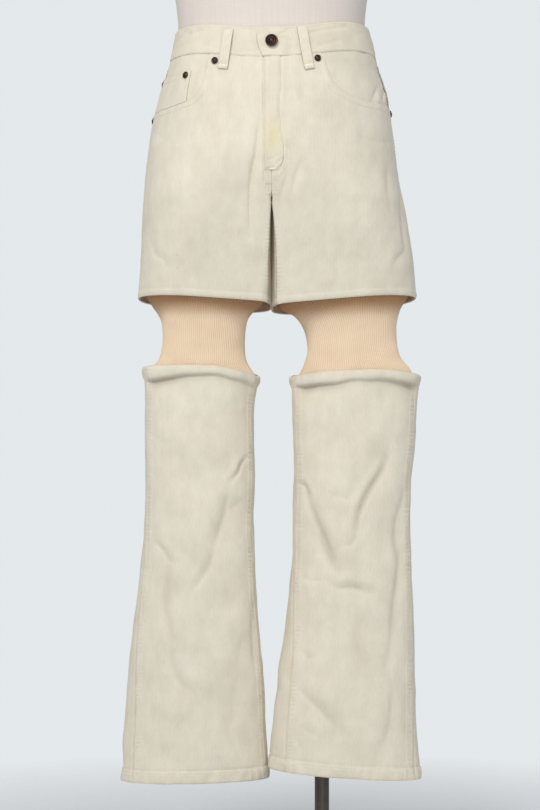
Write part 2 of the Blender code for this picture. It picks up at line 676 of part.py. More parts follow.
# A back pocket: height, and the distances of its two edges from the centre.
BACK_POCKET_ROWS = (
    (1.0700, 0.0330, 0.1400), (1.0550, 0.0338, 0.1395), (1.0400, 0.0345, 0.1390),
    (1.0250, 0.0353, 0.1385), (1.0110, 0.0361, 0.1378), (0.9970, 0.0369, 0.1370),
    (0.9840, 0.0377, 0.1362), (0.9720, 0.0386, 0.1354), (0.9610, 0.0395, 0.1346),
    (0.9510, 0.0510, 0.1240), (0.9410, 0.0760, 0.1000),
)


def band_stations():
    """Stations round the waistband, from its hidden end to the end of the tab."""
    def front_x(leg, z, x):
        return leg, angle_at_x(leg, z, x)

    z = WAIST_SEAM
    stations = [(*front_x(LEFT_THIGH, z, x), 0.0) for x in (0.0080, 0.0040)]
    quarters = 10
    for leg, start, end in ((RIGHT_THIGH, -90, 0), (RIGHT_THIGH, 0, 90),
                            (LEFT_THIGH, 90, 0)):
        for angle in even_angles(leg, z, start, end, quarters)[:-1]:
            stations.append((leg, angle, 0.0))
    tab_ramp = angle_at_x(LEFT_THIGH, z, 0.0300)
    stations += [(LEFT_THIGH, angle, 0.0)
                 for angle in even_angles(LEFT_THIGH, z, 0, tab_ramp, quarters - 2)]
    rise = BAND_WALL + SEAM_GAP
    for leg, x, share in ((LEFT_THIGH, 0.0220, 0.55), (LEFT_THIGH, 0.0140, 1.0),
                          (LEFT_THIGH, 0.0070, 1.0), (LEFT_THIGH, 0.0000, 1.0),
                          (RIGHT_THIGH, 0.0090, 1.0), (RIGHT_THIGH, 0.0180, 1.0)):
        stations.append((*front_x(leg, z, x), share * rise))
    return stations


def make_waistband(cloth):
    outside, inside = [], []
    bottom = WAIST_SEAM + HALF_GAP
    for i in range(BAND_ROWS + 1):
        z = BAND_TOP + (bottom - BAND_TOP) * i / BAND_ROWS
        outside.append([cloth_point(leg, z, angle, -lift) for leg, angle, lift in band_stations()])
        inside.append([cloth_point(leg, z, angle, BAND_WALL - lift)
                       for leg, angle, lift in band_stations()])
    wall_solid("waistband", outside, inside, cloth)


class Loop(NamedTuple):
    """A belt loop; its middle line runs from a top angle to a bottom angle."""

    name: str
    leg: Leg
    top_angle: float
    bottom_angle: float
    top: float
    bottom: float


LOOP_WIDTH = 0.0135
LOOP_BOW = 0.0022
LOOPS = (
    Loop("belt_loop_front_right", RIGHT_THIGH, angle_at_x(RIGHT_THIGH, 1.19, 0.0600),
         angle_at_x(RIGHT_THIGH, 1.13, 0.0650), 1.1870, 1.1335),
    Loop("belt_loop_front_left", LEFT_THIGH, angle_at_x(LEFT_THIGH, 1.19, 0.0400),
         angle_at_x(LEFT_THIGH, 1.13, 0.0490), 1.1905, 1.1330),
    Loop("belt_loop_side_right", RIGHT_THIGH, 24.0, 24.0, 1.1890, 1.1335),
    Loop("belt_loop_side_left", LEFT_THIGH, 12.0, 12.0, 1.1890, 1.1335),
    Loop("belt_loop_back", LEFT_THIGH, 90.0, 90.0, 1.1890, 1.1335),
)


def make_loop(loop, cloth):
    outside, inside = [], []
    rows = 6
    for i in range(rows + 1):
        share = i / rows
        z = loop.top + (loop.bottom - loop.top) * share
        middle = loop.top_angle + (loop.bottom_angle - loop.top_angle) * share
        lift = SEAM_GAP + LOOP_BOW * math.sin(math.pi * share) ** 0.7
        row_out, row_in = [], []
        for across in (-0.5, 0.5):
            distance = abs(across) * LOOP_WIDTH
            leg, direction = loop.leg, math.copysign(1, across)
            if middle == 90.0 and direction > 0:
                leg, direction = RIGHT_THIGH, -1
            angle = angle_past(leg, z, middle, distance, direction)
            row_out.append(cloth_point(leg, z, angle, -lift - CLOTH_WALL))
            row_in.append(cloth_point(leg, z, angle, -lift))
        outside.append(row_out)
        inside.append(row_in)
    wall_solid(loop.name, outside, inside, cloth)


# ---- Hardware -------------------------------------------------------------------------------

BUTTON_PROFILE = (
    (0.0, 0.0), (0.0076, 0.0), (0.0084, 0.0010), (0.0078, 0.0024), (0.0064, 0.0026),
    (0.0056, 0.0018), (0.0, 0.0022),
)
RIVET_PROFILE = (
    (0.0, 0.0), (0.0046, 0.0), (0.0046, 0.0010), (0.0024, 0.0017), (0.0, 0.0018),
)


class Rivet(NamedTuple):
    name: str
    leg: Leg
    z: float
    angle: float
    lift: float


def rivets():
    """The rivets at the pockets' corners; those of the coin pocket lie on it."""
    right, left = RIGHT_THIGH, LEFT_THIGH
    coin_lift = SEAM_GAP + PATCH_WALL + SEAM_GAP - FACING_DEPTH

    def seam_side(leg, z, distance):
        return angle_past(leg, z, outer_angle(leg, -1)(z), distance, -1)

    return (
        Rivet("rivet_top_right", right, 1.1420, angle_at_x(right, 1.1420, 0.0760), SEAM_GAP),
        Rivet("rivet_top_left", left, 1.1440, angle_at_x(left, 1.1440, 0.0615), SEAM_GAP),
        Rivet("rivet_corner_right", right, 1.0675, seam_side(right, 1.0675, 0.008), SEAM_GAP),
        Rivet("rivet_corner_left", left, 1.0755, seam_side(left, 1.0755, 0.008), SEAM_GAP),
        Rivet("rivet_coin_inner", right, 1.1235, angle_at_x(right, 1.1235, 0.1165), coin_lift),
        Rivet("rivet_coin_outer", right, 1.1195, seam_side(right, 1.1195, 0.020), coin_lift),
    )


def place_on_cloth(item, leg, z, angle, lift):
    normal = cloth_normal(leg, z, angle)
    item.location = cloth_point(leg, z, angle, -lift)
    item.rotation_mode = "QUATERNION"
    item.rotation_quaternion = normal.to_track_quat("Z", "Y")


def make_hardware(copper):
    button = turned("waist_button", BUTTON_PROFILE, 16, copper)
    middle = (WAIST_SEAM + BAND_TOP) / 2
    place_on_cloth(button, LEFT_THIGH, middle, -90.0, BAND_WALL + 2 * SEAM_GAP)
    for rivet in rivets():
        head = turned(rivet.name, RIVET_PROFILE, 10, copper)
        place_on_cloth(head, rivet.leg, rivet.z, rivet.angle, rivet.lift)


# ---- The form that wears the trousers -------------------------------------------------------

POLE_X = 0.0695
POLE_RADIUS = 0.0100
BASE_RADIUS = 0.2100
BASE_HEIGHT = 0.0100
HUB_HEIGHT = 0.0400
SOCKET_RADIUS = 0.0280
SOCKET_HEIGHT = 0.0180

# The form's levels, lowest first: height, and how far it lies inside the trousers' sections.
FORM_LEVELS = (
    (1.0050, 0.0480), (1.0070, 0.0360), (1.0130, 0.0250), (1.0240, 0.0170), (1.0400, 0.0130),
    (1.0700, 0.0110), (1.1000, 0.0090), (1.1250, 0.0080), (1.1470, 0.0060), (1.1580, 0.0036),
    (1.1740, 0.0034), (1.1910, 0.0034),
)
# Above the waistband: rise over the band's top, half width, front and back.
FORM_CHEST = (
    (0.0150, 0.1290, -0.0890, 0.0960), (0.0400, 0.1320, -0.0920, 0.0970),
    (0.0750, 0.1385, -0.0970, 0.0980), (0.1100, 0.1440, -0.1000, 0.0990),
    (0.1300, 0.1430, -0.0990, 0.0980), (0.1420, 0.1380, -0.0940, 0.0930),
    (0.1480, 0.1280, -0.0840, 0.0830), (0.1495, 0.1150, -0.0710, 0.0700),
)


def form_ring(section, depth):
    """One closed ring of the form, from a section that spans both sides evenly."""
    whole = Leg("form", +1, (section, section._replace(z=section.z - 0.01)))
    ring = []
    for angle in even_angles(whole, section.z, -180.0, 180.0, FORM_COLUMNS)[:-1]:
        point = section_point(section, 1, angle)
        middle_y = (section.front + section.back) / 2
        half_x, half_y = section.outer, (section.back - section.front) / 2
        slope = Vector((point.x / half_x**2, (point.y - middle_y) / half_y**2, 0.0))
        ring.append(point - slope.normalized() * depth)
    return ring


def make_form_body(linen):
    rings = []
    for z, depth in FORM_LEVELS:
        right, left = section_at(RIGHT_THIGH, z), section_at(LEFT_THIGH, z)
        half = min(right.outer, left.outer)
        section = left._replace(z=z, outer=half, inner=-half)
        rings.append(form_ring(section, depth))
    for rise, half, front, back in FORM_CHEST:
        share = min(rise / FORM_CHEST[3][0], 1.0)
        flat = 1.0 - share
        section = Section(BAND_TOP + rise, half, -half, front, back, 0.12 * flat, 0.02 * flat,
                          0.0, 0.0, 0.0)
        rings.append(form_ring(section, 0.0))
    vertices = [p for ring in rings for p in ring]
    count = FORM_COLUMNS
    faces = [tuple(range(count)), tuple(range(len(vertices) - count, len(vertices)))]
    for i in range(len(rings) - 1):
        for j in range(count):
            a, b = i * count + j, i * count + (j + 1) % count
            faces.append((a, b, b + count, a + count))
    add_object("form_body", vertices, faces, linen)


def make_stand(metal):
    body_bottom = FORM_LEVELS[0][0]
    lift = SEAM_GAP
    base = turned("form_base", (
        (0.0, 0.0), (BASE_RADIUS - 0.002, 0.0), (BASE_RADIUS, 0.002),
        (BASE_RADIUS, BASE_HEIGHT - 0.004), (BASE_RADIUS - 0.002, BASE_HEIGHT - 0.0015),
        (BASE_RADIUS - 0.006, BASE_HEIGHT), (0.0, BASE_HEIGHT)), 48, metal)
    base.location = (0.0, 0.0, 0.0)
    bore = POLE_RADIUS + lift
    hub_foot = BASE_HEIGHT + lift
    hub = turned("form_hub", (
        (bore, 0.0), (0.0300, 0.0), (0.0300, 0.0060), (0.0180, 0.0100),
        (0.0160, HUB_HEIGHT - 0.002), (0.0145, HUB_HEIGHT), (bore, HUB_HEIGHT),
        (bore, 0.0)), 24, metal)
    hub.location = (POLE_X, 0.0, hub_foot)
    socket_foot = body_bottom - lift - SOCKET_HEIGHT
    socket = turned("form_socket", (
        (0.0, 0.0), (0.0140, 0.0), (0.0160, 0.002), (0.0160, 0.0100), (SOCKET_RADIUS, 0.0130),
        (SOCKET_RADIUS, SOCKET_HEIGHT), (0.0, SOCKET_HEIGHT)), 24, metal)
    socket.location = (POLE_X, 0.0, socket_foot)
    length = socket_foot - lift - hub_foot
    pole = turned("form_pole", (
        (0.0, 0.0), (POLE_RADIUS, 0.0), (POLE_RADIUS, length), (0.0, length)), 20, metal)
    pole.location = (POLE_X, 0.0, hub_foot)


# ---- Assembly -------------------------------------------------------------------------------

def clear_scene():
    for item in list(bpy.data.objects):
        bpy.data.objects.remove(item)


def main():
    clear_scene()
    cloth = make_material("cream_cloth", (0.78, 0.73, 0.60), 0.90)
    knit = make_material("beige_knit", (0.76, 0.60, 0.42), 0.95)
    copper = make_material("dark_copper", (0.20, 0.09, 0.05), 0.40, 0.9)
    linen = make_material("linen", (0.76, 0.70, 0.61), 0.92)
    metal = make_material("dark_metal", (0.05, 0.045, 0.04), 0.35, 0.6)

    for word, thigh, rib, calf in (("right", RIGHT_THIGH, RIGHT_KNIT, RIGHT_CALF),
                                   ("left", LEFT_THIGH, LEFT_KNIT, LEFT_CALF)):
        make_thigh(thigh, word, cloth)
        make_front_pocket(thigh, word, cloth)
        tube("knit_" + word, rib, KNIT_ROWS, KNIT_COLUMNS, KNIT_WALL, knit)
        make_calf(calf, word, cloth)
    make_coin_pocket(cloth)
    make_waistband(cloth)
    front_patch("fly", FLY_ROWS, FACET_ROOM, PATCH_WALL, cloth, 4)
    for word, side in (("right", -1), ("left", 1)):
        rows = [(z, side * a, side * b) for z, a, b in BACK_POCKET_ROWS]
        front_patch("back_pocket_" + word, rows, POCKET_LIFT, PATCH_WALL, cloth, 6, face=+1)
    for loop in LOOPS:
        make_loop(loop, cloth)
    make_hardware(copper)
    make_form_body(linen)
    make_stand(metal)


main()
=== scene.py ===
"""The looks of the rib knit insert trousers on their dress form.

Metres, in the model's own frame: the front faces -Y and the wearer's left leg is at +X. Each leg
is the same stack of rounded sections as its solids, read here on a fine grid. Creases, seams,
hems and puckers are then pressed into that grid along its normals, and each piece is closed as a
thin shell. Stitches, ribs and hardware are modelled; weave, wear and painted shade are in the
materials.
"""

import math
from typing import NamedTuple

import bpy
import numpy as np
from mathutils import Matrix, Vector


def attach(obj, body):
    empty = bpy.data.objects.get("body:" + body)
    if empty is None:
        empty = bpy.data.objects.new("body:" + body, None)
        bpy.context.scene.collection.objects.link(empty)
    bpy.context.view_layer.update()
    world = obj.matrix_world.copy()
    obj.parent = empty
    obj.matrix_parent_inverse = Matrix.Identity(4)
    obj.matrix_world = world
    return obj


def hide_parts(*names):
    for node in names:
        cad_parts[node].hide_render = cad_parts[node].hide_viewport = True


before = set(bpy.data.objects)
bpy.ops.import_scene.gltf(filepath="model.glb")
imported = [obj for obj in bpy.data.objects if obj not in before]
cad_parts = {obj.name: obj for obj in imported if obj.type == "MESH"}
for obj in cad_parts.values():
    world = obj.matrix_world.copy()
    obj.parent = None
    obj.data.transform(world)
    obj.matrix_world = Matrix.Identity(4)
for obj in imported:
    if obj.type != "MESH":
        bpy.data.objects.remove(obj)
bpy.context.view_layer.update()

MM = 0.001
TURN = 2 * math.pi
ROUNDNESS = 2.2             # exponent of the sections; 2 is an ellipse
MERGED = 0.00015            # inner reach below which the two legs are one
WAIST_SEAM = 1.1513
BAND_TOP = 1.1910
BAND_TILT = 0.12            # rise of the waistband per metre towards the back
BAND_ROLL = 0.02            # and towards the wearer's left
HIP = 0.9920                # below it the rows of the thighs are level
HEM_DEPTH = 0.0160
HEM_WALL = 0.0008           # how much thicker the cloth is where a hem is turned up
RIM_FOLD = 0.0120
RIM_WALL = 0.0009           # how much thicker it is where a thigh's rim is folded
EASE = 0.001                # to both sides of a fold's end, where the thickness changes
CLOTH_WALL = 0.0014
PATCH_WALL = 0.0011         # of the fly, the facings and the pockets
LOOP_WALL = 0.0014
BAND_WALL = 0.0023
KNIT_WALL = 0.0016
GRID = 0.0030               # spacing of the cloth's grid across
BACK_GRID = 0.0048          # and across the backs
ROW = 0.0018                # and down
SIDE_STEPS = np.array([0.0, 0.0004, 0.0010, 0.0018, 0.0028, 0.0040])    # closer, beside an edge


# ---- The legs' sections ---------------------------------------------------------------------

class Section(NamedTuple):
    """One level section of a leg, its sideways sizes measured away from the centre plane."""

    z: float        # nominal height
    outer: float    # outermost reach
    inner: float    # innermost reach; below zero the two legs merge
    front: float    # y of the front
    back: float     # y of the back
    tilt: float = 0.0       # rise per metre towards the back
    roll: float = 0.0       # rise per metre towards the wearer's left
    arch: float = 0.0       # rise of the front and back between their middle and the side
    outseam: float = 0.0    # degrees that the outer seam lies in front of the side
    inseam: float = 0.0     # degrees that the inner seam lies in front of the inner side


class Leg(NamedTuple):
    name: str
    side: int       # +1 is the wearer's left, -1 the right
    sections: tuple


RIGHT_THIGH = Leg("thigh_right", -1, (
    Section(BAND_TOP, 0.1320, -0.1320, -0.0915, 0.0985, BAND_TILT, BAND_ROLL, 0.007, -4, 0),
    Section(WAIST_SEAM, 0.1405, -0.1405, -0.0975, 0.1075, BAND_TILT, BAND_ROLL, 0.007, -4, 0),
    Section(1.1000, 0.1560, -0.1560, -0.1035, 0.1230, 0.05, 0.01, 0.001, -2, 0),
    Section(1.0500, 0.1665, -0.1500, -0.1060, 0.1330, 0, 0, 0, 3, 0),
    Section(1.0050, 0.1730, -0.0900, -0.1050, 0.1330, 0, 0, 0, 11, 0),
    Section(0.9800, 0.1751, -0.0440, -0.1016, 0.1252, 0, 0, 0, 15, 0),
    Section(0.9680, 0.1760, -0.0195, -0.0992, 0.1197, 0, 0, 0, 17, 0),
    Section(0.9600, 0.1765, -0.0062, -0.0975, 0.1157, 0, 0, 0, 17.5, 0),
    Section(0.9540, 0.1769, 0.00015, -0.0961, 0.1127, 0, 0, 0, 18, 0),
    Section(0.9450, 0.1773, 0.0008, -0.0940, 0.1083, 0, 0, 0, 18, 0.8),
    Section(0.9300, 0.1778, 0.0014, -0.0906, 0.1018, 0, 0, 0, 18, 2.2),
    Section(0.9100, 0.1785, 0.0017, -0.0860, 0.0940, 0, 0, 0, 18, 4),
    Section(0.8600, 0.1810, 0.0027, -0.0735, 0.0785, -0.03, -0.02, 0, 18, 8),
    Section(0.8078, 0.1843, 0.0038, -0.0640, 0.0690, -0.106, -0.070, 0, 18, 10),
))
LEFT_THIGH = Leg("thigh_left", +1, (
    Section(BAND_TOP, 0.1340, -0.1340, -0.0915, 0.0985, BAND_TILT, BAND_ROLL, 0.007, 0, 0),
    Section(WAIST_SEAM, 0.1430, -0.1430, -0.0975, 0.1075, BAND_TILT, BAND_ROLL, 0.007, 0, 0),
    Section(1.1000, 0.1600, -0.1600, -0.1035, 0.1230, 0.05, 0.01, 0.001, 1, 0),
    Section(1.0500, 0.1675, -0.1500, -0.1060, 0.1330, 0, 0, 0, 2, 0),
    Section(1.0050, 0.1730, -0.0900, -0.1050, 0.1330, 0, 0, 0, 4, 0),
    Section(0.9800, 0.1765, -0.0440, -0.1016, 0.1252, 0, 0, 0, 5, 0),
    Section(0.9680, 0.1788, -0.0195, -0.0992, 0.1197, 0, 0, 0, 5.5, 0),
    Section(0.9600, 0.1804, -0.0062, -0.0975, 0.1157, 0, 0, 0, 6, 0),
    Section(0.9540, 0.1817, 0.00015, -0.0961, 0.1127, 0, 0, 0, 6, 0),
    Section(0.9450, 0.1835, 0.0008, -0.0940, 0.1083, 0, 0, 0, 6, 1.2),
    Section(0.9300, 0.1861, 0.0019, -0.0906, 0.1019, 0, 0, 0, 6, 3.3),
    Section(0.9100, 0.1893, 0.0027, -0.0860, 0.0940, 0, 0, 0, 6, 6),
    Section(0.8750, 0.1939, 0.0036, -0.0770, 0.0820, -0.02, 0.020, 0, 6, 11),
    Section(0.8045, 0.1994, 0.0042, -0.0640, 0.0690, -0.106, 0.085, 0, 6, 14),
))
RIGHT_KNIT = Leg("knit_right", -1, (
    Section(0.8193, 0.1780, 0.0085, -0.0615, 0.0665, -0.106, -0.070),
    Section(0.8100, 0.1710, 0.0165, -0.0560, 0.0610, -0.095, -0.065),
    Section(0.8030, 0.1640, 0.0250, -0.0515, 0.0565, -0.075, -0.055),
    Section(0.7960, 0.1565, 0.0310, -0.0465, 0.0515, -0.045, -0.035),
    Section(0.7880, 0.1520, 0.0345, -0.0430, 0.0480, -0.015, -0.010),
    Section(0.7690, 0.1499, 0.0370, -0.0400, 0.0450),
    Section(0.7500, 0.1517, 0.0372, -0.0395, 0.0445),
    Section(0.7370, 0.1560, 0.0350, -0.0395, 0.0445),
    Section(0.7260, 0.1650, 0.0295, -0.0400, 0.0450),
    Section(0.7150, 0.1720, 0.0225, -0.0447, 0.0496),
    Section(0.7060, 0.1731, 0.0203, -0.0440, 0.0492),
))
LEFT_KNIT = Leg("knit_left", +1, (
    Section(0.8160, 0.1915, 0.0090, -0.0612, 0.0662, -0.106, 0.085),
    Section(0.8060, 0.1850, 0.0165, -0.0560, 0.0610, -0.095, 0.080),
    Section(0.7970, 0.1775, 0.0300, -0.0500, 0.0550, -0.065, 0.060),
    Section(0.7870, 0.1737, 0.0405, -0.0440, 0.0485, -0.030, 0.030),
    Section(0.7690, 0.1720, 0.0480, -0.0400, 0.0440),
    Section(0.7520, 0.1740, 0.0495, -0.0400, 0.0435),
    Section(0.7360, 0.1800, 0.0465, -0.0400, 0.0435, 0, 0.010),
    Section(0.7220, 0.1893, 0.0415, -0.0405, 0.0440, 0, 0.020),
    Section(0.7040, 0.1995, 0.0310, -0.0448, 0.0478, 0, 0.020),
))
RIGHT_CALF = Leg("calf_right", -1, (
    Section(0.7280, 0.1787, 0.0117, -0.0480, 0.0530, -0.04, 0, 0, 14, 8),
    Section(0.6820, 0.1746, 0.0225, -0.0455, 0.0525, 0, 0, 0, 14, 12),
    Section(0.6270, 0.1745, 0.0242, -0.0450, 0.0530, 0, 0, 0, 14, 10),
    Section(0.5715, 0.1732, 0.0228, -0.0445, 0.0535, 0, 0, 0, 12, 12),
    Section(0.5160, 0.1760, 0.0242, -0.0440, 0.0545, 0, 0, 0, 14, 15),
    Section(0.4610, 0.1800, 0.0228, -0.0430, 0.0560, 0, 0, 0, 18, 14),
    Section(0.4060, 0.1868, 0.0200, -0.0420, 0.0570, 0, 0, 0, 22, 12),
    Section(0.3500, 0.1935, 0.0159, -0.0410, 0.0590, 0, 0.005, 0, 26, 12),
    Section(0.2950, 0.1985, 0.0117, -0.0400, 0.0600, 0, 0.010, 0, 30, 12),
    Section(0.2400, 0.2036, 0.0083, -0.0390, 0.0610, 0, 0.015, 0, 34, 12),
    Section(0.1610, 0.2090, 0.0030, -0.0380, 0.0620, 0, 0.018, 0, 36, 12),
))
LEFT_CALF = Leg("calf_left", +1, (
    Section(0.7190, 0.2070, 0.0235, -0.0485, 0.0520, -0.04, 0.020, 0, 6, 12),
    Section(0.6820, 0.2010, 0.0272, -0.0480, 0.0500, 0, 0.010, 0, 6, 14),
    Section(0.6270, 0.1975, 0.0308, -0.0485, 0.0490, 0, 0, 0, 6, 6),
    Section(0.5715, 0.1915, 0.0310, -0.0500, 0.0485, 0, 0, 0, 6, 12),
    Section(0.5160, 0.1912, 0.0290, -0.0515, 0.0480, 0, 0, 0, 6, 12),
    Section(0.4610, 0.1925, 0.0276, -0.0530, 0.0470, 0, 0, 0, 6, 14),
    Section(0.4060, 0.1940, 0.0218, -0.0550, 0.0455, 0, -0.010, 0, 8, 24),
    Section(0.3500, 0.1965, 0.0155, -0.0570, 0.0440, 0, -0.020, 0, 12, 32),
    Section(0.2950, 0.1980, 0.0080, -0.0590, 0.0430, 0, -0.030, 0, 16, 36),
    Section(0.2400, 0.1998, 0.0010, -0.0610, 0.0420, 0, -0.040, 0, 20, 38),
    Section(0.1777, 0.2050, -0.0045, -0.0620, 0.0420, 0, -0.070, 0, 26, 40),
))


def smooth_rows(knots, values, at):
    """Cubic through rows of values at rising knots; the ends are held."""
    at = np.clip(at, knots[0], knots[-1])
    k = np.clip(np.searchsorted(knots, at, side="right") - 1, 0, len(knots) - 2)
    slopes = np.empty_like(values)
    slopes[1:-1] = (values[2:] - values[:-2]) / (knots[2:] - knots[:-2])[:, None]
    slopes[0] = (values[1] - values[0]) / (knots[1] - knots[0])
    slopes[-1] = (values[-1] - values[-2]) / (knots[-1] - knots[-2])
    span = (knots[k + 1] - knots[k])[..., None]
    t = (at - knots[k])[..., None] / span
    return (values[k] * (2 * t**3 - 3 * t**2 + 1) + slopes[k] * span * (t**3 - 2 * t**2 + t)
            + values[k + 1] * (3 * t**2 - 2 * t**3) + slopes[k + 1] * span * (t**3 - t**2))


def bell(value, width):
    """One at zero, falling smoothly to nearly nothing at twice the width."""
    return np.exp(-(value / width) ** 2)


def step_up(value, start, end):
    """Zero up to the start, one from the end on, and smooth between them."""
    t = np.clip((value - start) / (end - start), 0, 1)
    return t * t * (3 - 2 * t)


def distances(points):
    """How far along a line of points each of them lies."""
    return np.concatenate([[0], np.cumsum(np.linalg.norm(np.diff(points, axis=0), axis=1))])


def index_of(value, rising):
    """Where a value lies among rising ones, as a fractional index."""
    return np.interp(value, rising, np.arange(len(rising)))


def value_at(index, values):
    """The value at a fractional index."""
    return np.interp(index, np.arange(len(values)), values)


def sizes_at(leg, z):
    """The section sizes of a leg at heights z, as a Section of arrays."""
    table = np.array(leg.sections, float)[::-1]
    values = smooth_rows(table[:, 0], table[:, 1:], np.asarray(z, float))
    return Section(np.asarray(z, float), *np.moveaxis(values, -1, 0))


def rounded(value):
    """A sine or cosine, bent to the sections' roundness."""
    return np.sign(value) * np.abs(value) ** (2 / ROUNDNESS)


CORNER = (9, 44)            # exponents of the flat front of a thigh beside its inner side
CORNER_SHARPENS = (0.8150, 0.9300)  # heights between which the exponent grows
CORNER_LEVELS = (1.0400, 0.9750)    # the corner grows from nothing to its full shape here


def smooth_point(leg, z, degrees):
    """Points of a leg's surface: 0 degrees is the outer side, -90 the front, 180 the inner side."""
    s = sizes_at(leg, z)
    angle = np.radians(degrees)
    x = (s.outer + s.inner) / 2 + (s.outer - s.inner) / 2 * rounded(np.cos(angle))
    y = (s.back + s.front) / 2 + (s.back - s.front) / 2 * rounded(np.sin(angle))
    if leg.name.startswith("thigh"):
        reach = np.abs(rounded(np.cos(angle)))
        power = CORNER[0] + (CORNER[1] - CORNER[0]) * step_up(s.z, *CORNER_SHARPENS)
        flat = np.maximum(1 - reach ** power, 0.0) ** (1 / power)
        flat = (s.back + s.front) / 2 - (s.back - s.front) / 2 * flat
        corner = (np.cos(angle) < 0) & (np.sin(angle) < 0)
        y = y + (flat - y) * corner * step_up(-s.z, *[-level for level in CORNER_LEVELS])
    lift = s.tilt * y + s.roll * leg.side * x + s.arch * np.sin(2 * angle) ** 2
    return np.stack([leg.side * x, y, s.z + lift], axis=-1)


def unit(vectors):
    """The vectors, each one long."""
    return vectors / np.maximum(np.linalg.norm(vectors, axis=-1, keepdims=True), 1e-12)


def smooth_normal(leg, z, degrees):
    """Normals of a leg's surface, facing out."""
    turn, step = 0.5, 0.001
    along = smooth_point(leg, z, degrees + turn) - smooth_point(leg, z, degrees - turn)
    down = smooth_point(leg, z - step, degrees) - smooth_point(leg, z + step, degrees)
    return unit(np.cross(down, along)) * leg.side


def angle_at_x(leg, z, x, face=-1):
    """Degrees at which the front (face -1) or the back (+1) passes a distance from the centre."""
    s = sizes_at(leg, z)
    share = np.clip((x - (s.outer + s.inner) / 2) / ((s.outer - s.inner) / 2), -1.0, 1.0)
    cosine = np.sign(share) * np.abs(share) ** (ROUNDNESS / 2)
    return face * np.degrees(np.arccos(cosine))


# ---- Creases --------------------------------------------------------------------------------

class Fold(NamedTuple):
    """A trough pressed into the cloth, with a soft swell on one side of it."""

    depth: float    # millimetres; below zero it is a ridge
    width: float    # millimetres from its line to where its steep side is nearly flat
    swell: float    # the swell's height as a share of the depth; below zero, on the other side
    path: tuple     # of (distance from the centre, nominal height)


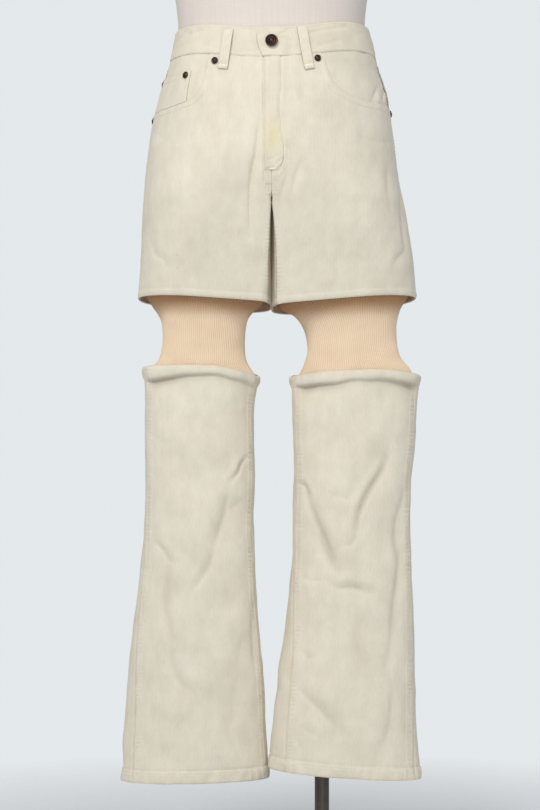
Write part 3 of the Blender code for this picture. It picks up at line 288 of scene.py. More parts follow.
CALF_FOLDS = 1.25           # the calves' folds are this much deeper than their tables say
FOLD_REACH = 3.2            # how far a fold is felt, in its widths
FOLD_OVERLAP = 0.02         # how far a front's folds reach behind the side, and a back's before it
FOLD_STEP = 0.004           # between the points of a fold's line
FOLD_ENDS = (0.02, 0.98)    # shares of its line between which a fold's depth swells and fades
FOLD_FADE = 0.7             # below one it is nearly as deep towards its ends as in its middle
FRONT_FOLDS = {
    "thigh_right": (
        Fold(4.8, 6.5, 0.35, ((.016, 1.062), (.021, 1.008), (.026, .985), (.029, .950),
                              (.029, .900))),
        Fold(1.1, 7, 0.9, ((.043, 1.096), (.034, 1.075), (.029, 1.060), (.025, 1.040))),
        Fold(1.6, 18, 0.2, ((.165, 1.052), (.150, 1.038), (.128, 1.024))),
        Fold(1.3, 7, 0.3, ((.163, .900), (.159, .877), (.146, .866), (.139, .848))),
        Fold(1.2, 16, 0.2, ((.080, .900), (.063, .879), (.048, .858))),
        Fold(0.8, 12, 0.2, ((.120, 1.010), (.105, .975), (.100, .930))),
        Fold(0.9, 8, 0.3, ((.010, .985), (.016, .960), (.014, .930))),
    ),
    "thigh_left": (
        Fold(1.8, 6, 0.5, ((.022, .985), (.015, .962), (.011, .944))),
        Fold(2.6, 6, 0.4, ((.040, 1.002), (.031, .975), (.026, .950))),
        Fold(0.8, 4, 0.6, ((.013, 1.020), (.024, 1.012))),
        Fold(0.9, 9, 0.3, ((.112, 1.034), (.140, 1.030), (.168, 1.034))),
        Fold(1.8, 10, 0.3, ((.158, 1.000), (.157, .970), (.161, .935))),
        Fold(2.6, 9, 0.4, ((.174, .985), (.178, .915), (.181, .882), (.168, .862), (.164, .842))),
        Fold(0.9, 14, 0.2, ((.070, .985), (.078, .950), (.074, .905))),
        Fold(2.0, 5, 0.5, ((.149, 1.113), (.143, 1.099), (.137, 1.086))),
        Fold(2.2, 4, 0.6, ((.159, 1.111), (.155, 1.101), (.154, 1.089))),
        Fold(1.0, 5, 0.4, ((.139, 1.134), (.148, 1.128), (.156, 1.126))),
    ),
    "calf_right": (
        Fold(2.4, 4, -0.6, ((.031, .606), (.041, .594), (.045, .583), (.058, .568))),
        Fold(3.2, 9, -0.5, ((.058, .566), (.061, .549), (.065, .523), (.075, .494), (.080, .475),
                            (.086, .451))),
        Fold(2.6, 6, -0.5, ((.079, .475), (.086, .455), (.096, .438), (.110, .418))),
        Fold(0.8, 6, 0.4, ((.038, .548), (.060, .529))),
        Fold(0.9, 9, 0.3, ((.126, .612), (.115, .587), (.114, .540))),
        Fold(1.8, 5, 0.5, ((.162, .490), (.147, .475), (.140, .464), (.128, .459))),
        Fold(2.2, 17, 0.1, ((.141, .470), (.143, .435), (.138, .395))),
        Fold(2.4, 10, 0.45, ((.150, .420), (.141, .383), (.135, .356), (.135, .329), (.127, .304),
                             (.108, .282))),
        Fold(1.8, 6, 0.5, ((.027, .410), (.025, .349), (.021, .290))),
        Fold(1.8, 24, 0.2, ((.034, .400), (.048, .288), (.068, .180))),
        Fold(1.0, 10, 0.4, ((.170, .640), (.150, .625), (.128, .628))),
        Fold(0.9, 12, 0.4, ((.090, .365), (.104, .330), (.112, .290))),
    ),
    "calf_left": (
        Fold(2.2, 4, 0.5, ((.034, .568), (.043, .566), (.047, .560), (.050, .548))),
        Fold(4.4, 7.5, 0.5, ((.046, .562), (.050, .546), (.056, .530), (.064, .511), (.072, .492),
                           (.081, .470), (.088, .456))),
        Fold(3.2, 15, 0.3, ((.062, .505), (.075, .478), (.086, .456), (.100, .440))),
        Fold(4.2, 5.5, -0.6, ((.158, .600), (.152, .587), (.143, .573), (.133, .558), (.125, .543),
                            (.119, .528), (.116, .512), (.115, .497), (.110, .486), (.097, .484))),
        Fold(1.8, 16, -0.3, ((.166, .630), (.148, .585), (.130, .560), (.118, .535))),
        Fold(0.9, 8, 0.3, ((.070, .558), (.094, .550), (.120, .546))),
        Fold(3.2, 6, 0.5, ((.078, .436), (.090, .428), (.105, .429), (.122, .426), (.138, .420))),
        Fold(0.9, 5, 0.4, ((.038, .440), (.055, .436), (.070, .438))),
        Fold(2.6, 9, 0.8, ((.187, .580), (.178, .546), (.171, .519), (.169, .485), (.173, .468),
                           (.171, .438), (.166, .405), (.162, .356), (.156, .325), (.150, .310))),
        Fold(2.0, 8, 0.5, ((.164, .312), (.162, .275), (.158, .241), (.148, .215))),
        Fold(2.0, 7, 0.45, ((.030, .300), (.045, .283), (.060, .270), (.074, .256), (.087, .241),
                            (.099, .226))),
        Fold(1.0, 5, 0.4, ((.038, .346), (.052, .332), (.066, .341))),
        Fold(1.0, 6, 0.4, ((.026, .240), (.041, .205))),
        Fold(1.0, 6, 0.4, ((.036, .243), (.066, .226))),
        Fold(1.4, 20, 0.2, ((.110, .400), (.118, .340), (.112, .280))),
    ),
}
BACK_FOLDS = {
    "thigh_right": (
        Fold(3.6, 9, 0.6, ((.022, .940), (.050, .922), (.090, .916), (.128, .921), (.158, .934))),
        Fold(2.0, 8, 0.5, ((.030, .906), (.062, .896), (.100, .897))),
        Fold(1.8, 9, 0.4, ((.010, 1.010), (.020, .975), (.040, .948))),
        Fold(1.6, 14, 0.3, ((.150, .900), (.130, .880), (.120, .850))),
        Fold(1.2, 16, 0.3, ((.060, .880), (.075, .860), (.082, .838))),
        Fold(1.0, 10, 0.3, ((.150, 1.030), (.163, .990), (.166, .950))),
    ),
    "thigh_left": (
        Fold(3.4, 9, 0.6, ((.020, .946), (.046, .928), (.084, .919), (.124, .925), (.164, .941))),
        Fold(2.2, 8, 0.5, ((.060, .900), (.104, .892), (.146, .899))),
        Fold(1.8, 9, 0.4, ((.010, 1.016), (.022, .980), (.038, .952))),
        Fold(1.4, 14, 0.3, ((.040, .890), (.052, .866), (.050, .842))),
        Fold(1.2, 14, 0.3, ((.170, .890), (.158, .865), (.155, .840))),
    ),
    "calf_right": (
        Fold(3.6, 10, 0.6, ((.168, .628), (.140, .604), (.104, .596), (.070, .606))),
        Fold(3.2, 9, 0.5, ((.040, .590), (.070, .560), (.110, .541), (.150, .548))),
        Fold(2.2, 9, 0.4, ((.155, .520), (.125, .490), (.098, .452), (.090, .410))),
        Fold(2.0, 14, 0.3, ((.060, .430), (.074, .360), (.070, .290))),
        Fold(2.2, 10, 0.4, ((.160, .420), (.150, .350), (.158, .270))),
        Fold(1.6, 18, 0.3, ((.110, .330), (.118, .260), (.106, .200))),
    ),
    "calf_left": (
        Fold(3.6, 10, 0.6, ((.052, .622), (.084, .598), (.122, .592), (.160, .604))),
        Fold(3.0, 9, 0.5, ((.182, .592), (.150, .562), (.110, .540), (.070, .546))),
        Fold(2.2, 9, 0.4, ((.060, .505), (.090, .474), (.118, .440), (.124, .400))),
        Fold(2.2, 10, 0.4, ((.060, .400), (.072, .330), (.060, .260))),
        Fold(2.0, 13, 0.3, ((.170, .440), (.160, .360), (.166, .280))),
        Fold(1.6, 18, 0.3, ((.110, .310), (.104, .250), (.116, .195))),
    ),
}


def smooth_path(points, step):
    """Points about step apart on a curve through the given points."""
    points = np.array(points, float)
    lengths = distances(points)
    at = np.linspace(0, lengths[-1], max(4, int(lengths[-1] / step)))
    return smooth_rows(lengths, points, at)


def fold_line(leg, face, fold):
    """Points down the middle of a fold, on the smooth leg."""
    x, z = smooth_path(fold.path, FOLD_STEP).T
    return smooth_point(leg, z, angle_at_x(leg, z, x, face))


def beside_line(points, normals, line, reach):
    """For points near a line: which they are, signed distance and how far along it they lie."""
    near = np.all((points > line.min(0) - reach) & (points < line.max(0) + reach), axis=-1)
    p, n = points[near], normals[near]
    if len(p) == 0:
        return near, np.zeros(0), np.zeros(0)
    start, step = line[:-1], np.diff(line, axis=0)
    offset = p[:, None] - start
    t = np.clip((offset * step).sum(-1) / (step * step).sum(-1), 0, 1)
    away = offset - t[..., None] * step
    distance = np.linalg.norm(away, axis=-1)
    k = distance.argmin(1)
    row = np.arange(len(p))
    side = np.sign((np.cross(step[k], away[row, k]) * n).sum(-1))
    return near, distance[row, k] * side, (k + t[row, k]) / len(step)


TROUGH_SIDES = (0.55, 1.25)     # breadth of a trough's steep and gentle sides, in fold widths
SHARP_LINE = 0.30               # how much of its depth is a sharp line, and that line's breadth
SWELL_PLACE = 1.8               # the swell's distance from the line
SWELL_BREADTH = 1.2


def fold_profile(side, width, swell):
    """A fold's height, for one unit of depth, at signed distances from its line."""
    lean = math.copysign(1, swell)
    steep, gentle = TROUGH_SIDES
    breadth = np.where(side * lean > 0, gentle, steep) * width
    trough = -(1 - SHARP_LINE) * np.exp(-np.abs(side / breadth) ** 1.7)
    trough -= SHARP_LINE * np.exp(-np.abs(side) / (SHARP_LINE * width))
    return trough + abs(swell) * bell(side - lean * SWELL_PLACE * width, SWELL_BREADTH * width)


def fold_field(leg, points, normals):
    """Height of all of a leg's folds at its points."""
    height = np.zeros(points.shape[:-1])
    deeper = CALF_FOLDS if leg.name.startswith("calf") else 1.0
    for face, table in ((-1, FRONT_FOLDS), (+1, BACK_FOLDS)):
        facing = np.where(face * points[..., 1] > -FOLD_OVERLAP, 1.0, 0.0)
        for fold in table.get(leg.name, ()):
            width = fold.width * MM
            line = fold_line(leg, face, fold)
            near, side, along = beside_line(points, normals, line, FOLD_REACH * width)
            fade = np.sin(math.pi * np.clip(along, *FOLD_ENDS)) ** FOLD_FADE
            shape = fold_profile(side, width, fold.swell)
            height[near] += fold.depth * MM * deeper * fade * shape * facing[near]
    return height


def waves(points, seed, longest, shortest, stretch=(1, 1, 1), count=26):
    """Smooth noise of about unit height, with wavelengths between two limits."""
    draw = np.random.default_rng(seed)
    total = np.zeros(points.shape[:-1])
    scaled = points * np.array(stretch)
    for _ in range(count):
        direction = unit(draw.normal(size=3))
        length = shortest * (longest / shortest) ** draw.random()
        phase = 6.3 * draw.random()
        total += np.sin(TURN * (scaled @ direction) / length + phase)
    return total / math.sqrt(count / 2)


# ---- Grids of cloth -------------------------------------------------------------------------

class Cloth(NamedTuple):
    """A fine grid on a leg: its first row is the top edge, its first column the inner edge."""

    leg: Leg
    points: np.ndarray
    normals: np.ndarray
    shares: np.ndarray      # of the way across, for each column
    arcs: np.ndarray        # distance along the level from the inner edge
    widths: np.ndarray      # of each point's level, from seam to seam
    heights: np.ndarray     # nominal
    down: np.ndarray        # distance from the top edge


def inner_seam(leg, face):
    """Degrees of the inner seam as a panel of one face meets it."""
    return lambda z: -180.0 + sizes_at(leg, z).inseam + (360.0 if face > 0 else 0.0)


def outer_seam(leg):
    return lambda z: -sizes_at(leg, z).outseam


def centre_seam(leg, face):
    """Degrees of the centre seam above the crotch, and of the inner seam below it."""
    def at(z):
        merged = angle_at_x(leg, z, 0.0, face)
        return np.where(sizes_at(leg, z).inner < MERGED, merged, inner_seam(leg, face)(z))
    return at


def thigh_seams(leg, face=-1):
    """The edges of a thigh's front or back: functions from heights to degrees."""
    return centre_seam(leg, face), outer_seam(leg)


def calf_seams(leg, face):
    return inner_seam(leg, face), outer_seam(leg)


ALL_ROUND = (lambda z: np.full_like(z, -180.0), lambda z: np.full_like(z, 180.0))


INNER_SHARE = 0.22          # the columns that take up the cloth wrapped round a thigh's inside
WRAP_START = 0.0120         # distance from the centre at which that cloth begins
CORNER_SHARE = 0.07         # of those columns, the ones behind the thigh's front corner
CORNER_START = 0.0010       # how far beyond the thigh's inside the corner is taken to lie
CORNER_PACE = 0.65          # how densely the columns beyond the corner begin; 1 is even
GRAIN_LINE = 0.0900         # distance from the centre of the straight grain down a thigh
LEVEL_SAMPLES = 121         # on each level between two seams
INSIDE_TURN = 4.0           # degrees to both sides of a thigh's inside, sampled more closely
INSIDE_SAMPLES = 40         # on each side of it
GRID_LEVELS = 300           # levels at which a panel's angles are worked out


def level_lengths(leg, levels, seams):
    """Angles and lengths along the cloth at close samples of each level between two seams."""
    a, b = seams[0](levels)[:, None], seams[1](levels)[:, None]
    angles = a + (b - a) * np.linspace(0, 1, LEVEL_SAMPLES)
    if leg.name.startswith("thigh"):
        inside = math.copysign(180.0, a[0, 0])
        near = np.geomspace(1e-5, INSIDE_TURN, INSIDE_SAMPLES)
        close = np.concatenate([inside + near, inside - near, [inside]])
        close = np.clip(close[None], np.minimum(a, b), np.maximum(a, b))
        angles = np.sort(np.concatenate([angles, close], axis=1), axis=1)
        if a[0, 0] > b[0, 0]:
            angles = angles[:, ::-1]
    points = smooth_point(leg, np.repeat(levels[:, None], angles.shape[1], 1), angles)
    lengths = np.zeros(angles.shape)
    lengths[:, 1:] = np.cumsum(np.linalg.norm(np.diff(points, axis=1), axis=-1), axis=1)
    return angles, lengths, np.abs(points[..., 0])


def length_at_x(lengths, reach, x):
    """Length along each level at which the cloth last passes a distance from the centre."""
    found = []
    for row, across, wanted in zip(lengths, reach, np.broadcast_to(x, len(lengths))):
        last = across.argmax() + 1
        rising = np.minimum.accumulate(across[:last][::-1])[::-1]
        found.append(np.interp(wanted, rising, row[:last]))
    return np.array(found)


def angle_table(leg, levels, seams, shares, wrapped=False):
    """Angles and lengths at shares of the way between two seams, at each level.

    If wrapped is set, the cloth that turns round a thigh's inside is taken up by the first
    columns, so that the others run straight down past the crotch.
    """
    angles, lengths, reach = level_lengths(leg, levels, seams)
    total = lengths[:, -1]
    extra = np.zeros(len(levels))
    if wrapped:
        extra = np.maximum(length_at_x(lengths, reach, WRAP_START) - WRAP_START, 0.0)
        inside = np.maximum(sizes_at(leg, levels).inner, 0.0) + CORNER_START
        corner = length_at_x(lengths, reach, inside)
    arcs = np.empty((len(levels), len(shares)))
    for k, whole in enumerate(total):
        arcs[k] = extra[k] + (whole - extra[k]) * shares
        if wrapped:
            wrap_end = extra[k] + (whole - extra[k]) * INNER_SHARE
            beyond = np.clip((shares - CORNER_SHARE) / (INNER_SHARE - CORNER_SHARE), 0, 1)
            pace = CORNER_PACE + (1 - CORNER_PACE) * beyond
            beyond = corner[k] + (wrap_end - corner[k]) * pace * beyond
            behind = corner[k] * shares / CORNER_SHARE
            first = np.where(shares < CORNER_SHARE, behind, beyond)
            arcs[k] = np.where(shares < INNER_SHARE, first, arcs[k])
    found = np.array([np.interp(arc, row, turn) for arc, row, turn in zip(arcs, lengths, angles)])
    return found, arcs, total


def depths(points):
    """How far down a grid each of its points lies, along its column."""
    down = np.zeros(points.shape[:2])
    down[1:] = np.cumsum(np.linalg.norm(np.diff(points, axis=0), axis=-1), axis=0)
    return down


def cloth_of(leg, points, normals, shares, widths, level):
    """A grid from its points, whose rows are level; widths are the lengths of its rows."""
    widths = np.broadcast_to(widths, points.shape[:2])
    heights = np.repeat(level[:, None], len(shares), 1)
    return Cloth(leg, points, normals, shares, shares * widths, widths, heights, depths(points))


def make_grid(leg, heights, seams, shares, wrapped=False):
    """The smooth grid of a panel whose nominal heights are given for each row and column."""
    levels = np.linspace(heights.min(), heights.max(), GRID_LEVELS)
    angles, arcs, widths = angle_table(leg, levels, seams, shares, wrapped)

    def at_heights(table):
        return np.stack([np.interp(heights[:, j], levels, table[:, j])
                         for j in range(len(shares))], axis=1)

    turned = at_heights(angles)
    points = smooth_point(leg, heights, turned)
    return Cloth(leg, points, smooth_normal(leg, heights, turned), shares, at_heights(arcs),
                 np.interp(heights, levels, widths), heights, depths(points))


def rows_between(top, bottom, length):
    """Heights of a panel's rows, squeezed between the edges' heights at each column."""
    return top + (bottom - top) * even_parts(length)[:, None]


def moved(cloth, height):
    """The cloth moved out along its normals, with normals of the new shape."""
    points = cloth.points + cloth.normals * height[..., None]
    across = np.gradient(points, axis=1)
    along = np.gradient(points, axis=0)
    normals = unit(np.cross(along, across))
    facing = np.sign((normals * cloth.normals).sum(-1, keepdims=True))
    return cloth._replace(points=points, normals=normals * np.where(facing == 0, 1, facing))


def even_shares(width, extra=(), spacing=GRID):
    """Shares evenly apart and closer near both seams, an odd number of them."""
    sides = SIDE_STEPS[:-1] / width
    edge = SIDE_STEPS[-1] / width
    middle = np.linspace(edge, 1 - edge, max(3, int(width / spacing)))
    shares = np.unique(np.round(np.concatenate([sides, middle, 1 - sides, extra]), 6))
    return make_odd(shares)


def make_odd(values):
    """Rising values, with one more in the widest gap if they are even in number."""
    if len(values) % 2 == 0:
        k = np.argmax(np.diff(values))
        values = np.insert(values, k + 1, (values[k] + values[k + 1]) / 2)
    return values


def even_parts(length, spacing=ROW):
    """Shares of a length from its top to its bottom edge, closer together near both."""
    sides = SIDE_STEPS / length
    middle = np.linspace(sides[-1], 1 - sides[-1], max(3, int(length / spacing)))
    return make_odd(np.unique(np.concatenate([sides, 1 - sides, middle])))


# ---- Meshes ---------------------------------------------------------------------------------

STUFFS = {}                 # the materials by the name of their slot


def new_object(name, vertices, faces, slot, uvs=None, marks=None, sharp=60, stuff=None):
    """An object from arrays; uvs and marks are given for each vertex."""
    mesh = bpy.data.meshes.new(name)
    mesh.from_pydata(np.asarray(vertices).tolist(), [], [list(f) for f in faces])
    if uvs is not None:
        corner = np.zeros(len(mesh.loops), np.int32)
        mesh.loops.foreach_get("vertex_index", corner)
        layer = mesh.uv_layers.new(name="cloth")
        layer.data.foreach_set("uv", np.asarray(uvs, np.float32)[corner].ravel())
    for key, values in (marks or {}).items():
        layer = mesh.attributes.new(key, "FLOAT", "POINT")
        layer.data.foreach_set("value", np.asarray(values, np.float32))
    mesh.shade_smooth()
    if sharp:
        mesh.set_sharp_from_angle(angle=math.radians(sharp))
    item = bpy.data.objects.new(name, mesh)
    bpy.context.scene.collection.objects.link(item)
    mesh.materials.append(STUFFS[stuff or slot])
    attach(item, "root")
    return item


def grid_quads(rows, columns, shift=0, ring=False):
    """Quads of a grid of points; the last column joins the first if ring is set."""
    j = np.arange(columns if ring else columns - 1)
    i = np.arange(rows - 1)[:, None]
    a = i * columns + j
    b = i * columns + (j + 1) % columns
    quads = np.stack([a, b, b + columns, a + columns], axis=-1).reshape(-1, 4)
    return (quads + shift).tolist()


def volume(vertices, faces):
    """The volume inside faces of three or four corners; below zero if they face inwards."""
    total = 0.0
    for size in (3, 4):
        some = np.array([f for f in faces if len(f) == size], int)
        if len(some) == 0:
            continue
        for k in range(1, size - 1):
            a, b, c = vertices[some[:, 0]], vertices[some[:, k]], vertices[some[:, k + 1]]
            total += (a * np.cross(b, c)).sum()
    return total / 6


def facing_out(vertices, faces):
    return [tuple(f)[::-1] for f in faces] if volume(vertices, faces) < 0 else faces


def bridge(fine, middle, coarse):
    """Faces from a fine edge, over a middle row, to an edge with half as many points."""
    faces = []
    for k in range(len(fine) - 1):
        faces.append((fine[k + 1], fine[k], middle[k], middle[k + 1]))
    for k in range(len(coarse) - 1):
        a, b = coarse[k], coarse[k + 1]
        p, q, r = middle[2 * k], middle[2 * k + 1], middle[2 * k + 2]
        faces += [(q, p, a), (q, a, b), (r, q, b)]
    return faces


def grain_of(cloth):
    """For each row, how far from the inner edge the straight grain lies."""
    if cloth.leg is not None and cloth.leg.name.startswith("thigh"):
        return length_at_x(cloth.arcs, np.abs(cloth.points[..., 0]), GRAIN_LINE)[:, None]
    return 0.5 * cloth.widths


INNER_STEP = 2              # a shell's inner face has every second row and column
LIP = 0.35                  # how far its rim bulges, as a share of its thickness
RIM_PAINTED_SHADE = 0.4            # how much of the inner face's painted shade the rim has


def shell(name, cloth, wall, slot, marks, ring=False):
    """Closes a grid as a thin wall with a rounded rim and a coarser inner face, marked for painted
    shade.

    marks are named values of the grid's points, for the material.
    """
    rows, columns = cloth.points.shape[:2]
    outside = cloth.points.reshape(-1, 3)
    step = INNER_STEP
    thick = np.broadcast_to(np.asarray(wall), (rows, columns))[..., None]
    inner_grid = cloth.points - cloth.normals * thick
    inside = inner_grid[::step, ::step]
    inner_rows, inner_columns = inside.shape[:2]
    uv = np.stack([cloth.arcs - grain_of(cloth), -cloth.down], axis=-1)
    marks = {"wear_and_shade": np.zeros((rows, columns)), **marks}
    shift = rows * columns
    # painted shade: none on the outer face, full on the inner face
    painted_inside_shade = [np.zeros(shift), np.ones(inner_rows * inner_columns)]
    faces = [f[::-1] for f in grid_quads(rows, columns, ring=ring)]
    faces += grid_quads(inner_rows, inner_columns, shift, ring=ring)
    vertices = [outside, inside.reshape(-1, 3)]
    uvs = [uv.reshape(-1, 2), uv[::step, ::step].reshape(-1, 2)]
    values = {key: [v.reshape(-1), v[::step, ::step].reshape(-1)] for key, v in marks.items()}
    count = shift + inner_rows * inner_columns
    along = unit(np.gradient(cloth.points, axis=0))
    across = unit(np.gradient(cloth.points, axis=1))
    r_all, c_all = np.arange(rows), np.arange(columns)
    borders = [(np.zeros_like(c_all), c_all, -along, False),
               (np.full_like(c_all, rows - 1), c_all, along, True)]
    if not ring:
        borders += [(r_all, np.zeros_like(r_all), -across, True),
                    (r_all, np.full_like(r_all, columns - 1), across, False)]
    for i, j, out, flip in borders:
        middle = (cloth.points[i, j] + inner_grid[i, j]) / 2 + out[i, j] * LIP * thick[i, j]
        fine = (i * columns + j).tolist()
        coarse = [shift + (a // step) * inner_columns + b // step
                  for a, b in zip(i[::step].tolist(), j[::step].tolist())]
        ids = list(range(count, count + len(fine)))
        vertices.append(middle)
        uvs.append(uv[i, j])
        for key in marks:
            values[key].append(marks[key][i, j])
        painted_inside_shade.append(np.full(len(fine), RIM_PAINTED_SHADE))
        count += len(fine)
        if ring:
            fine, ids, coarse = fine + fine[:1], ids + ids[:1], coarse + coarse[:1]
        strip = bridge(fine, ids, coarse)
        faces += [f[::-1] for f in strip] if flip else strip
    vertices = np.concatenate(vertices)
    values["painted_inside_shade"] = painted_inside_shade
    marks = {key: np.concatenate(v) for key, v in values.items()}
    return new_object(name, vertices, facing_out(vertices, faces), slot, np.concatenate(uvs),
                      marks, sharp=None)


BEAD_WIDTH = 0.0006


def lathe(node, profile, segments, slot, place=None, beads=None):
    """A turned piece that replaces a CAD node, about +Z or about the axis of its place.

    Its profile runs from the axis round the outside to the axis, as (radius, height). Its place
    is an origin and an axis. Its beads are their circle's radius, number and height.
    """
    profile = np.array(profile, float)
    turn = np.linspace(0, TURN, segments, endpoint=False)
    ring = profile[1:-1]
    x = ring[:, None, 0] * np.cos(turn)
    y = ring[:, None, 0] * np.sin(turn)
    z = np.repeat(ring[:, None, 1], segments, 1)
    if beads:
        radius, count, height = beads
        z = z + height * np.cos(count * turn) * bell(ring[:, None, 0] - radius, BEAD_WIDTH)
    points = np.stack([x, y, z], axis=-1).reshape(-1, 3)
    first, last = len(points), len(points) + 1
    points = np.concatenate([points, [[0, 0, profile[0, 1]], [0, 0, profile[-1, 1]]]])
    faces = grid_quads(len(ring), segments, ring=True)
    end = (len(ring) - 1) * segments
    for k in range(segments):
        n = (k + 1) % segments
        faces += [(first, n, k), (last, end + k, end + n)]
    faces = facing_out(points, faces)
    if place is not None:
        origin, axis = place
        turned_to = Vector(axis).to_track_quat("Z", "Y").to_matrix()
        points = points @ np.array(turned_to).T + np.array(origin)
    item = new_object(node + "_metal", points, faces, slot, sharp=35)
    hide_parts(node)


# ---- Stitches -------------------------------------------------------------------------------

def sample(grid, i, j):
    """Values of a grid at fractional rows and columns."""
    rows, columns = grid.shape[:2]
    a = np.clip(np.floor(i).astype(int), 0, rows - 2)
    b = np.clip(np.floor(j).astype(int), 0, columns - 2)
    s, t = (i - a)[:, None], (j - b)[:, None]
    return ((grid[a, b] * (1 - t) + grid[a, b + 1] * t) * (1 - s)
            + (grid[a + 1, b] * (1 - t) + grid[a + 1, b + 1] * t) * s)


def spots(cloth, rows, columns):
    """Points and normals of a piece at fractional rows and columns."""
    return sample(cloth.points, rows, columns), sample(cloth.normals, rows, columns)


class Thread:
    """Collects stitches, and joins them into one mesh."""

    SIDES = 4
    # A stitch's rings: share of its length, share of its radius, and rise in millimetres.
    RINGS = ((0.0, 0.30, -0.10), (0.18, 1.0, 0.14), (0.82, 1.0, 0.14), (1.0, 0.30, -0.10))

    def __init__(self):
        self.batches = []

    def row(self, points, normals, pitch=0.0031, length=0.0024, radius=0.00034, lift=0.0001):
        """Stitches at an even pitch along a line on the cloth."""
        along = distances(points)
        starts = np.arange(pitch * 0.3, along[-1] - length, pitch)
        if len(starts) == 0:
            return

        def at(values, distance):
            return np.stack([np.interp(distance, along, values[:, k]) for k in range(3)], axis=1)

        up = unit(at(normals, starts + length / 2))
        self.add(at(points, starts) + up * lift, at(points, starts + length) + up * lift, up,
                 radius)

    def add(self, starts, ends, up, radius):
        """One stitch from each start to its end."""
        turn = np.linspace(0, TURN, self.SIDES, endpoint=False)
        side = unit(np.cross(ends - starts, up))
        rings = []
        for share, thickness, rise in self.RINGS:
            centre = starts + (ends - starts) * share + up * rise * MM
            across = side[:, None] * (np.cos(turn) * radius * thickness)[:, None]
            over = up[:, None] * (np.sin(turn) * radius * thickness)[:, None]
            rings.append(centre[:, None] + across + over)
        self.batches.append(np.stack(rings, axis=1))

    def mesh(self, name):
        points = np.concatenate(self.batches)
        count, rings, sides = points.shape[:3]
        one = []
        for k in range(rings - 1):
            for s in range(sides):
                a, b = k * sides + s, k * sides + (s + 1) % sides
                one.append((a, a + sides, b + sides, b))
        first = np.arange(count)[:, None, None] * rings * sides
        quads = np.array(one)[None] + first
        caps = np.arange(rings * sides).reshape(rings, sides)[[0, -1]]
        caps = np.stack([caps[0], caps[1][::-1]])[None] + first
        faces = quads.reshape(-1, 4).tolist() + caps.reshape(-1, sides).tolist()
        return new_object(name, points.reshape(-1, 3), faces, "cream_cloth", stuff="cream_thread")


LINE_POINTS = 240           # along a line down a piece
LEVEL_POINTS = 300          # and along a line across it


def seam_line(cloth, distance, from_outer, first=0.0, last=1.0):
    """A line beside a seam of a panel, over a share of its rows."""
    rows = np.linspace(first, last, LINE_POINTS) * (cloth.points.shape[0] - 1)
    goal = cloth.widths[:, 0] - distance if from_outer else np.full(len(cloth.widths), distance)
    columns = np.array([index_of(g, arc) for g, arc in zip(goal, cloth.arcs)])
    return spots(cloth, rows, value_at(rows, columns))


def level_line(cloth, distance, first=0.0, last=1.0, from_bottom=False):
    """A line across a panel at a distance from its top or bottom edge."""
    columns = np.linspace(first, last, LEVEL_POINTS) * (cloth.points.shape[1] - 1)
    down = cloth.down[-1] - cloth.down if from_bottom else cloth.down
    index = np.arange(cloth.points.shape[0])
    order = -1 if from_bottom else 1
    rows = np.array([np.interp(distance, down[::order, j], index[::order])
                     for j in range(down.shape[1])])
    return spots(cloth, value_at(columns, rows), columns)


# ---- Materials ------------------------------------------------------------------------------

